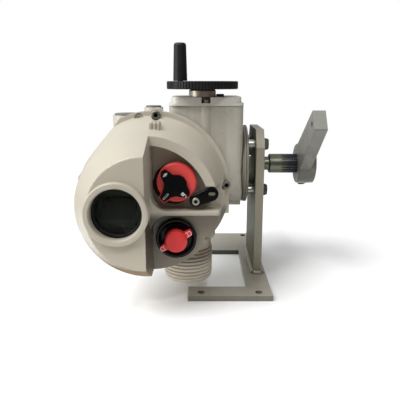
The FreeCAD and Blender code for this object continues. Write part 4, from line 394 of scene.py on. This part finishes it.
NODE_LOOKS = {
    "drum": ["control_housing"],
    "gearbox": ["gear_housing", "rear_cap"],
    "lid": ["housing_lid"],
    "motor": ["motor_cover"],
    "cover": ["front_cover"],
    "base": ["base_plate"],
    "bracket": ["upright_plate"],
    "weld": ["weld_beads"],
    "flange": ["output_flange", "centring_ring"],
    "lever": ["lever_arm"],
    "zinc": ["spacer_sleeves", "bracket_washers", "lid_screws", "latch_screw", "lever_clamp_nut"],
    "dark_steel": ["bracket_bolts", "lever_clamp_bolt", "oil_plug", "motor_screws"],
    "screw_head": ["cover_screws"],
    "output_shaft": ["output_shaft"],
    "shaft": ["worm_shaft", "motor_shaft", "wheel_key", "grip_axle"],
    "bright": ["output_bearing_front", "output_bearing_rear", "worm_bearings", "motor_bearings"],
    "bronze": ["worm_wheel"],
    "gear": ["worm_gear", "motor_gear"],
    "laminations": ["motor_stator", "motor_rotor", "transformer"],
    "cast": ["motor_end_plate", "latch_post"],
    "boss": ["handwheel_boss"],
    "plug": ["entry_plugs"],
    "black": ["handwheel", "handwheel_cap", "spinner_grip"],
    "gloss": ["upper_bezel", "lower_bezel", "upper_pointer", "padlock_latch"],
    "red": ["lower_selector_knob"],
    "red_disc": ["upper_selector_knob"],
    "rubber": ["boss_seal", "output_seal", "cover_gasket", "window_gasket"],
    "component": ["control_relays"],
    "terminal": ["terminal_block"],
    "board": ["control_board", "lcd_board"],
    "screen": ["lcd_display"],
}


def smooth(obj):
    """Smooth faces that keep the sharp edges of the part."""
    for face in obj.data.polygons:
        face.use_smooth = True
    split = obj.modifiers.new("sharp_edges", "EDGE_SPLIT")
    split.split_angle = SHARP_ANGLE


def repaint(name, material, chosen):
    """Gives the faces of a node for which chosen(face) is true a second material."""
    data = nodes[name].data
    data.materials.append(material)
    index = len(data.materials) - 1
    for face in data.polygons:
        if chosen(face):
            face.material_index = index


def mark_sockets(name, material):
    """Paints shadow into the key sockets of screws whose heads face the front: the floors, and walls that
    face them.
    """
    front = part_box(name)[0].y
    faces = nodes[name].data.polygons
    floors = [face for face in faces
              if face.normal.y < -0.9 and SOCKET_TOP < face.center.y - front < SOCKET_REACH]

    def looks_at(wall, floor):
        offset = wall.center - floor.center
        return offset.dot(wall.normal) < -SOCKET_LIP and offset.length < SOCKET_REACH

    walls = [face for face in faces
             if abs(face.normal.y) < 0.1 and SOCKET_LIP < face.center.y - front < SOCKET_REACH
             and any(looks_at(face, floor) for floor in floors)]
    chosen = {face.index for face in floors + walls}
    repaint(name, material, lambda face: face.index in chosen)


def dress_nodes(materials):
    """Gives every CAD node its look, and some of their faces a second one."""
    for look, names in NODE_LOOKS.items():
        for name in names:
            obj = nodes[name]
            obj.data.materials.clear()
            obj.data.materials.append(materials[look])
    # painted shade on the upright's left-facing faces
    repaint("upright_plate", materials["bracket_shaded_side"], lambda face: face.normal.x < -0.5)
    # painted shadow on the rear bar's front-facing edge
    repaint("base_plate", materials["shaded_dark_edge"],
            lambda face: face.normal.y < -0.5 and face.center.y > 0)
    # painted shade on the front bar's front-facing edges
    repaint("base_plate", materials["base_shaded_edge"],
            lambda face: face.normal.y < -0.5 and face.center.y < 0)
    # painted shadow in the screw sockets
    for name in ("latch_screw", "cover_screws"):
        mark_sockets(name, materials["socket"])
    bar_z = (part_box("upper_selector_knob")[0].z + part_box("lower_selector_knob")[1].z) / 2
    floor_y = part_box("lower_bezel")[1].y
    window_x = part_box("window_glass")[1].x
    repaint("front_cover", materials["cover_shade"],
            lambda face: (face.normal.x > 0.7 and face.center.z < bar_z and face.center.y < floor_y
                          and face.center.x > window_x))
    nodes["window_glass"].data.materials.clear()
    nodes["window_glass"].data.materials.append(glass())


# ---------------------------------------------------------------- marks on the selectors

def joint_at(name):
    """Where a joint's axis crosses its body, in metres."""
    return Vector(next(joint["pos_m"] for joint in frame["joints"] if joint["name"] == name))


def front_of(name):
    """The Y of a node's front face."""
    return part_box(name)[0].y


def line(name, body, axis, depth, points, radius, material, closed=False):
    """A raised line on a front-facing surface; points are millimetres right and up from the axis."""
    data = bpy.data.curves.new(name, "CURVE")
    data.dimensions = "3D"
    data.bevel_depth = radius * MM
    data.bevel_resolution = 3
    data.use_fill_caps = True
    spline = data.splines.new("POLY")
    spline.points.add(len(points) - 1)
    for point, (right, up) in zip(spline.points, points):
        point.co = (axis.x + right * MM, depth, axis.z + up * MM, 1.0)
    spline.use_cyclic_u = closed
    obj = bpy.data.objects.new(name, data)
    data.materials.append(material)
    bpy.context.scene.collection.objects.link(obj)
    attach(obj, body)
    return obj


def turned_points(points, angle):
    """The points turned about the axis by angle degrees."""
    turn = Matrix.Rotation(math.radians(angle), 2)
    return [tuple(turn @ Vector(point)) for point in points]


def make_marks(looks):
    """The plain white marks on both selectors and the red rim of the upper pointer."""
    axis = joint_at("upper_selector_turn")
    face = front_of("upper_pointer")
    white, red = looks["marking"], looks["red"]
    lobe_rim = [(-18.2, -11.6), (-22.2, -18.4), (-17.2, -25.4), (-11.6, -22.8), (-7.2, -19.2)]
    rim = line("pointer_rim", "upper_selector", axis, face + 1.2 * MM, lobe_rim, 0.75, red)
    bar = [(-17.6, -20.0), (-16.2, -21.2), (-10.2, -14.6), (-11.4, -13.4)]
    line("pointer_bar", "upper_selector", axis, face, bar, 0.32, white, closed=True)
    for index, shift in enumerate((0.0, 1.5, 3.0)):
        mark = [(-16.6 + shift, 8.2 + shift * 0.3), (-14.6 + shift, 12.6 + shift * 0.3)]
        line(f"pointer_dash_{index}", "upper_selector", axis, face, mark, 0.42, white)
    for index, shift in enumerate((0.0, 1.1, 2.2)):
        mark = [(5.6 + shift, -14.6 - shift), (8.6 + shift, -11.6 - shift)]
        line(f"pointer_block_{index}", "upper_selector", axis, face, mark, 0.5, white)
    corner = [(10.6, -15.0), (12.6, -16.2), (10.8, -18.0), (13.4, -18.2)]
    line("pointer_corner", "upper_selector", axis, face, corner, 0.35, white)

    axis = joint_at("lower_selector_turn")
    wing_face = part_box("lower_selector_knob")[0].y + 3.6 * MM
    outline = [(16.0, 3.0), (22.0, 2.6), (22.9, 1.4), (22.9, -1.4), (22.0, -2.6), (16.0, -3.0)]
    tick = [(18.2, 2.4), (18.2, -2.4)]
    for index, turn in enumerate((WING_ANGLE, WING_ANGLE + 180.0)):
        for label, points, radius in (("outline", outline, 0.32), ("tick", tick, 0.28)):
            line(f"wing_{label}_{index}", "lower_selector", axis, wing_face,
                 turned_points(points, turn), radius, white)


# ---------------------------------------------------------------- stage

def make_floor():
    """A white floor that fades out away from the object, so that it meets the surround softly."""
    mesh = bpy.data.meshes.new("floor")
    floor = bpy.data.objects.new("floor", mesh)
    bpy.context.scene.collection.objects.link(floor)
    corners = [(FLOOR_REACH * x, FLOOR_REACH * y, 0) for x, y in ((-1, -1), (1, -1), (1, 1), (-1, 1))]
    mesh.from_pydata(corners, [], [(0, 1, 2, 3)])
    surface = Surface("floor_white", (0.95, 0.95, 0.945), 0.8, specular=0.2)
    distance = surface.node("VectorMath", operation="LENGTH")
    surface.link(surface.coordinates, distance.inputs[0])
    fade = surface.ramp(distance.outputs["Value"], FLOOR_FADE_START, FLOOR_FADE_END, 1.0, 0.0)
    surface.link(fade, surface.shader.inputs["Alpha"])
    mesh.materials.append(surface.material)


def make_world():
    """A white surround that lights the object softly: brightest overhead, dim and warm low in front."""
    world = bpy.data.worlds.new("studio")
    bpy.context.scene.world = world
    world.use_nodes = True
    tree = world.node_tree
    background = tree.nodes["Background"]
    direction = tree.nodes.new("ShaderNodeTexCoord")
    height = tree.nodes.new("ShaderNodeVectorMath")
    height.operation = "DOT_PRODUCT"
    height.inputs[1].default_value = SKY_DIRECTION
    scale = tree.nodes.new("ShaderNodeMapRange")
    scale.inputs["From Min"].default_value = -1.0
    blend = tree.nodes.new("ShaderNodeValToRGB")
    blend.color_ramp.elements[0].color = SKY_LOW
    blend.color_ramp.elements[1].color = SKY_HIGH
    blend.color_ramp.elements.new(0.5).color = SKY_MIDDLE
    rays = tree.nodes.new("ShaderNodeLightPath")
    mix = tree.nodes.new("ShaderNodeMix")
    mix.data_type = "RGBA"
    mix.inputs[7].default_value = WHITE
    tree.links.new(direction.outputs["Generated"], height.inputs[0])
    tree.links.new(height.outputs["Value"], scale.inputs["Value"])
    tree.links.new(scale.outputs["Result"], blend.inputs["Fac"])
    tree.links.new(rays.outputs["Is Camera Ray"], mix.inputs[0])
    tree.links.new(blend.outputs["Color"], mix.inputs[6])
    tree.links.new(mix.outputs[2], background.inputs["Color"])


def add_light(name, kind, place, energy, target):
    """A light at place that shines towards target."""
    data = bpy.data.lights.new(name, kind)
    data.energy = energy
    lamp = bpy.data.objects.new(name, data)
    lamp.location = place
    aim = Vector(target) - Vector(place)
    lamp.rotation_euler = aim.to_track_quat("-Z", "Y").to_euler()
    bpy.context.scene.collection.objects.link(lamp)
    return data


def make_lights():
    """A soft key from the upper left, a fill from the left and a small glint from above the front."""
    add_light("key", "SUN", (-0.56, -0.34, 0.80), 2.65, (0.0, 0.0, 0.0)).angle = math.radians(34.0)
    add_light("left", "AREA", (-0.80, -0.30, 0.35), 1.8, LIGHT_TARGET).size = 0.4
    add_light("glint", "AREA", (0.15, -0.55, 0.80), 1.2, LIGHT_TARGET).size = 0.07


def make_camera():
    """The photo's viewpoint: straight along Y, a little above the object and tilted down."""
    data = bpy.data.cameras.new("camera")
    data.lens = CAMERA_LENS
    data.sensor_width = SENSOR_WIDTH
    camera = bpy.data.objects.new("camera", data)
    camera.location = CAMERA_PLACE
    camera.rotation_euler = (CAMERA_TILT, 0.0, 0.0)
    bpy.context.scene.collection.objects.link(camera)
    bpy.context.scene.camera = camera


# ---------------------------------------------------------------- all together

looks = make_materials()
dress_nodes(looks)
for cad_node in nodes.values():
    smooth(cad_node)
make_marks(looks)
make_floor()
make_world()
make_lights()
make_camera()
bpy.context.scene.view_settings.view_transform = "Standard"
